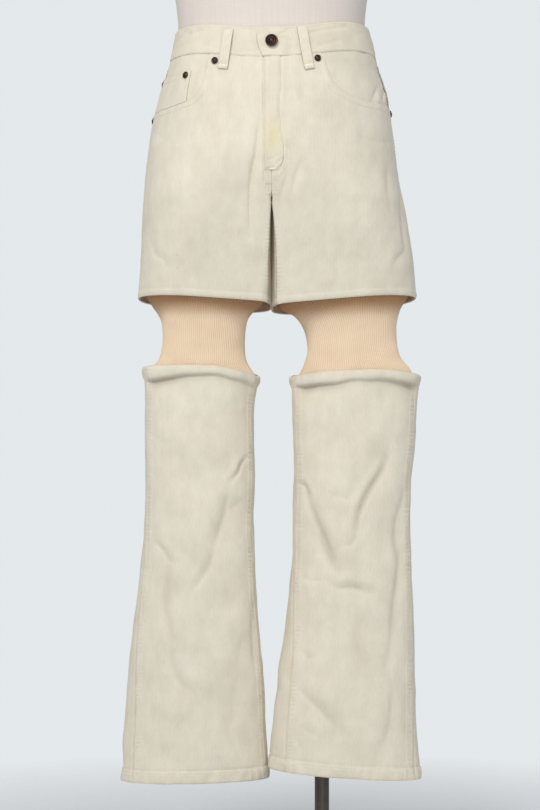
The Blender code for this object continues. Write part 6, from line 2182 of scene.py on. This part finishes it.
def make_hardware():
    """The waist button, with a ring of beads, and the six rivets."""
    middle = (WAIST_SEAM + BAND_TOP) / 2
    lathe("waist_button", BUTTON, 72, "dark_copper",
          on_surface(LEFT_THIGH, middle, -90, BUTTON_LIFT), BUTTON_BEADS)
    for rivet in RIVETS:
        angle = angle_at_x(rivet.leg, rivet.z, rivet.away)
        if rivet.from_seam:
            levels = np.array([rivet.z, rivet.z + 0.001])
            share = np.array([1 - rivet.away / front_width(rivet.leg, rivet.z)])
            angle = angle_table(rivet.leg, levels, thigh_seams(rivet.leg), share)[0][0, 0]
        lathe(rivet.name, RIVET, 40, "dark_copper",
              on_surface(rivet.leg, rivet.z, angle, rivet.lift))


POLE_X = 0.0695
POLE_RADIUS = 0.0100
BASE_RADIUS = 0.2100
BASE_HEIGHT = 0.0100
HUB_HEIGHT = 0.0400
SOCKET_RADIUS = 0.0280
SOCKET_HEIGHT = 0.0180
SEAM_GAP = 0.0003           # between one part of the stand and the next
FORM_GIRTH = 0.8
FORM_COLUMNS = 120
WAIST_RINGS = 44
CHEST_RINGS = 40

# The form's levels, lowest first: height, and how far it lies inside the trousers' sections.
FORM_LEVELS = (
    (1.0050, 0.0480), (1.0070, 0.0360), (1.0130, 0.0250), (1.0240, 0.0170), (1.0400, 0.0130),
    (1.0700, 0.0110), (1.1000, 0.0090), (1.1250, 0.0080), (1.1470, 0.0060), (1.1580, 0.0036),
    (1.1740, 0.0034), (1.1910, 0.0034),
)
# Above the waistband: rise over the band's top, half width, front and back.
FORM_CHEST = (
    (0.0150, 0.1290, -0.0890, 0.0960), (0.0400, 0.1320, -0.0920, 0.0970),
    (0.0750, 0.1385, -0.0970, 0.0980), (0.1100, 0.1440, -0.1000, 0.0990),
    (0.1300, 0.1430, -0.0990, 0.0980), (0.1420, 0.1380, -0.0940, 0.0930),
    (0.1480, 0.1280, -0.0840, 0.0830), (0.1495, 0.1150, -0.0710, 0.0700),
)


def form_ring(section, depth, columns):
    """One closed ring of the form, drawn in from a section by a depth."""
    whole = Leg("form", +1, (section, section._replace(z=section.z - 0.01)))
    z = np.array([section.z, section.z - 0.001])
    angles = angle_table(whole, z, ALL_ROUND, np.arange(columns) / columns)[0]
    points = smooth_point(whole, np.full(columns, section.z), angles[0])
    middle = (section.front + section.back) / 2
    slope = np.stack([points[:, 0] / section.outer ** 2,
                      (points[:, 1] - middle) / ((section.back - section.front) / 2) ** 2,
                      np.zeros(columns)], axis=1)
    return points - unit(slope) * depth


def make_form_body():
    """The linen body: inside the trousers to their waist, and a closed chest above them."""
    columns = FORM_COLUMNS
    rings = []
    z, depth = np.array(FORM_LEVELS).T
    for part in np.linspace(0, len(z) - 1, WAIST_RINGS):
        level = float(value_at(part, z))
        inset = float(value_at(part, depth))
        right, left = sizes_at(RIGHT_THIGH, level), sizes_at(LEFT_THIGH, level)
        half = min(float(right.outer), float(left.outer))
        section = Section(*(float(v) for v in left))._replace(z=level, outer=half, inner=-half)
        rings.append(form_ring(section, inset, columns))
    chest = np.array(FORM_CHEST)
    steep = FORM_CHEST[3][0]
    knots = np.arange(len(chest), dtype=float)
    at = np.linspace(0, knots[-1], CHEST_RINGS)
    for rise, half, front, back in smooth_rows(knots, chest, at):
        lean = 1.0 - min(rise / steep, 1.0)
        section = Section(BAND_TOP + rise, half, -half, front, back, BAND_TILT * lean,
                          BAND_ROLL * lean)
        rings.append(form_ring(section, 0.0, columns))
    points = np.concatenate(rings)
    faces = grid_quads(len(rings), columns, ring=True)
    faces += [tuple(range(columns)), tuple(range(len(points) - columns, len(points)))[::-1]]
    turn = np.tile(np.arange(columns) / columns * FORM_GIRTH, len(rings))
    uvs = np.stack([turn, points[:, 2]], axis=1)
    body = new_object("form_body_linen", points, facing_out(points, faces), "linen", uvs, sharp=50)
    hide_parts("form_body")


def make_stand():
    """The round base, its hub, the pole and the socket under the form."""
    foot = BASE_HEIGHT + SEAM_GAP
    socket_foot = FORM_LEVELS[0][0] - SEAM_GAP - SOCKET_HEIGHT
    length = socket_foot - SEAM_GAP - foot

    def turned(node, profile, segments, z):
        lathe(node, profile, segments, "dark_metal", ((POLE_X, 0.0, z), (0.0, 0.0, 1.0)))

    lathe("form_base", [
        (0.0, 0.0), (BASE_RADIUS - 0.003, 0.0), (BASE_RADIUS - 0.001, 0.0006),
        (BASE_RADIUS, 0.0020), (BASE_RADIUS, BASE_HEIGHT - 0.0045),
        (BASE_RADIUS - 0.0006, BASE_HEIGHT - 0.0026), (BASE_RADIUS - 0.0022, BASE_HEIGHT - 0.001),
        (BASE_RADIUS - 0.0060, BASE_HEIGHT - 0.0002), (BASE_RADIUS - 0.012, BASE_HEIGHT),
        (0.10, BASE_HEIGHT), (0.0, BASE_HEIGHT)], 192, "dark_metal")
    turned("form_hub", [
        (0.0, 0.0), (0.0292, 0.0), (0.0300, 0.0008), (0.0300, 0.0048), (0.0292, 0.0060),
        (0.0230, 0.0072), (0.0190, 0.0092), (0.0178, 0.0125), (0.0160, HUB_HEIGHT - 0.004),
        (0.0156, HUB_HEIGHT - 0.0012), (0.0146, HUB_HEIGHT),
        (POLE_RADIUS + SEAM_GAP, HUB_HEIGHT), (0.0, HUB_HEIGHT)], 96, foot)
    turned("form_socket", [
        (0.0, 0.0), (0.0136, 0.0), (0.0156, 0.0010), (0.0160, 0.0030), (0.0162, 0.0095),
        (0.0200, 0.0112), (SOCKET_RADIUS - 0.001, 0.0124), (SOCKET_RADIUS, 0.0136),
        (SOCKET_RADIUS, SOCKET_HEIGHT), (0.0, SOCKET_HEIGHT)], 96, socket_foot)
    turned("form_pole", [
        (0.0, 0.0), (POLE_RADIUS - 0.0006, 0.0), (POLE_RADIUS, 0.0008), (POLE_RADIUS, 0.30),
        (POLE_RADIUS, 0.60), (POLE_RADIUS, length), (0.0, length)], 64, foot)


# ---- Camera, lights and floor ---------------------------------------------------------------

FOCAL_LENGTH = 90.2         # millimetres
SENSOR = 36
CAMERA_PLACE = (-0.0021, -2.8, 0.675)
BACKGROUND = (0.775, 0.812, 0.835)
AMBIENT = (0.93, 0.96, 1.0)
AMBIENT_STRENGTH = 0.55
FLOOR_RADIUS = 1.15
FLOOR_FADE = (-1.65, 1.9)   # the floor's opacity falls so fast with its radius, from this
FLOOR_TONES = ((0.66, 0.67, 0.68), (0.71, 0.72, 0.73))


class Light(NamedTuple):
    """An area light: square, with its side in metres and its power in watts."""

    name: str
    place: tuple
    target: tuple
    size: float
    power: float
    colour: tuple


LIGHTS = (
    Light("key", (-0.75, -2.3, 2.65), (0, 0, 0.75), 0.9, 43, (1.0, 0.975, 0.94)),
    Light("fill", (0.4, -3.6, 0.9), (0, 0, 0.7), 2.4, 26, (0.97, 0.98, 1.0)),
    Light("back", (0.9, 2.6, 2.3), (0, 0, 0.75), 1.6, 16, (1.0, 0.99, 0.97)),
)


def make_camera():
    data = bpy.data.cameras.new("camera")
    data.lens = FOCAL_LENGTH
    data.sensor_width = SENSOR
    camera = bpy.data.objects.new("camera", data)
    camera.location = CAMERA_PLACE
    camera.rotation_euler = (math.radians(90), 0, 0)
    bpy.context.scene.collection.objects.link(camera)
    bpy.context.scene.camera = camera


def make_light(light):
    data = bpy.data.lights.new(light.name, "AREA")
    data.shape, data.size, data.size_y = "RECTANGLE", light.size, light.size
    data.energy, data.color = light.power, light.colour
    lamp = bpy.data.objects.new(light.name, data)
    lamp.location = light.place
    aim = Vector(light.target) - Vector(light.place)
    lamp.rotation_euler = aim.to_track_quat("-Z", "Y").to_euler()
    bpy.context.scene.collection.objects.link(lamp)


def make_world():
    """A pale background, and a softer light from all sides."""
    world = bpy.data.worlds.new("studio")
    bpy.context.scene.world = world
    world.use_nodes = True
    tree = world.node_tree
    for node in list(tree.nodes):
        tree.nodes.remove(node)
    out = tree.nodes.new("ShaderNodeOutputWorld")
    both = tree.nodes.new("ShaderNodeMixShader")
    rays = tree.nodes.new("ShaderNodeLightPath")
    seen, ambient = tree.nodes.new("ShaderNodeBackground"), tree.nodes.new("ShaderNodeBackground")
    seen.inputs["Color"].default_value = (*BACKGROUND, 1)
    ambient.inputs["Color"].default_value = (*AMBIENT, 1)
    ambient.inputs["Strength"].default_value = AMBIENT_STRENGTH
    tree.links.new(rays.outputs["Is Camera Ray"], both.inputs[0])
    tree.links.new(ambient.outputs[0], both.inputs[1])
    tree.links.new(seen.outputs[0], both.inputs[2])
    tree.links.new(both.outputs[0], out.inputs["Surface"])


def make_floor():
    """A pale round floor that fades into the background."""
    bpy.ops.mesh.primitive_circle_add(vertices=128, radius=FLOOR_RADIUS, fill_type="NGON")
    floor = bpy.context.object
    floor.name = "floor"
    n = Nodes("pale_floor", FLOOR_TONES[1], 0.75)
    away = n.vector("LENGTH", n.space_place()).outputs["Value"]
    n.put(n.shader.inputs["Alpha"], n.math("MULTIPLY_ADD", away, *FLOOR_FADE, clamp=True))
    n.put(n.shader.inputs["Base Color"], n.mix(n.cloudy(60, 4), *FLOOR_TONES))
    floor.data.materials.append(n.material)


# ---- Assembly -------------------------------------------------------------------------------

def main():
    bpy.context.scene.view_settings.view_transform = "Standard"
    make_camera()
    STUFFS.update(cream_cloth=cotton(), cream_thread=thread_stuff(), beige_knit=rib_knit(),
                  linen=linen(), dark_copper=old_copper(), dark_metal=dark_metal())
    for word, thigh, rib, calf in (("right", RIGHT_THIGH, RIGHT_KNIT, RIGHT_CALF),
                                   ("left", LEFT_THIGH, LEFT_KNIT, LEFT_CALF)):
        make_front(thigh, word)
        make_back(thigh, word)
        make_facing(thigh, word)
        make_knit(rib, thigh, calf, word)
        make_calf(calf, word)
    make_coin_pocket()
    make_fly()
    make_waistband()
    make_back_pocket("right", -1)
    make_back_pocket("left", +1)
    for loop in LOOPS:
        make_loop(loop)
    make_hardware()
    make_form_body()
    make_stand()
    stitched = {name: rows.mesh("stitches_" + name) for name, rows in THREADS.items()}
    make_world()
    make_floor()
    for light in LIGHTS:
        make_light(light)


main()
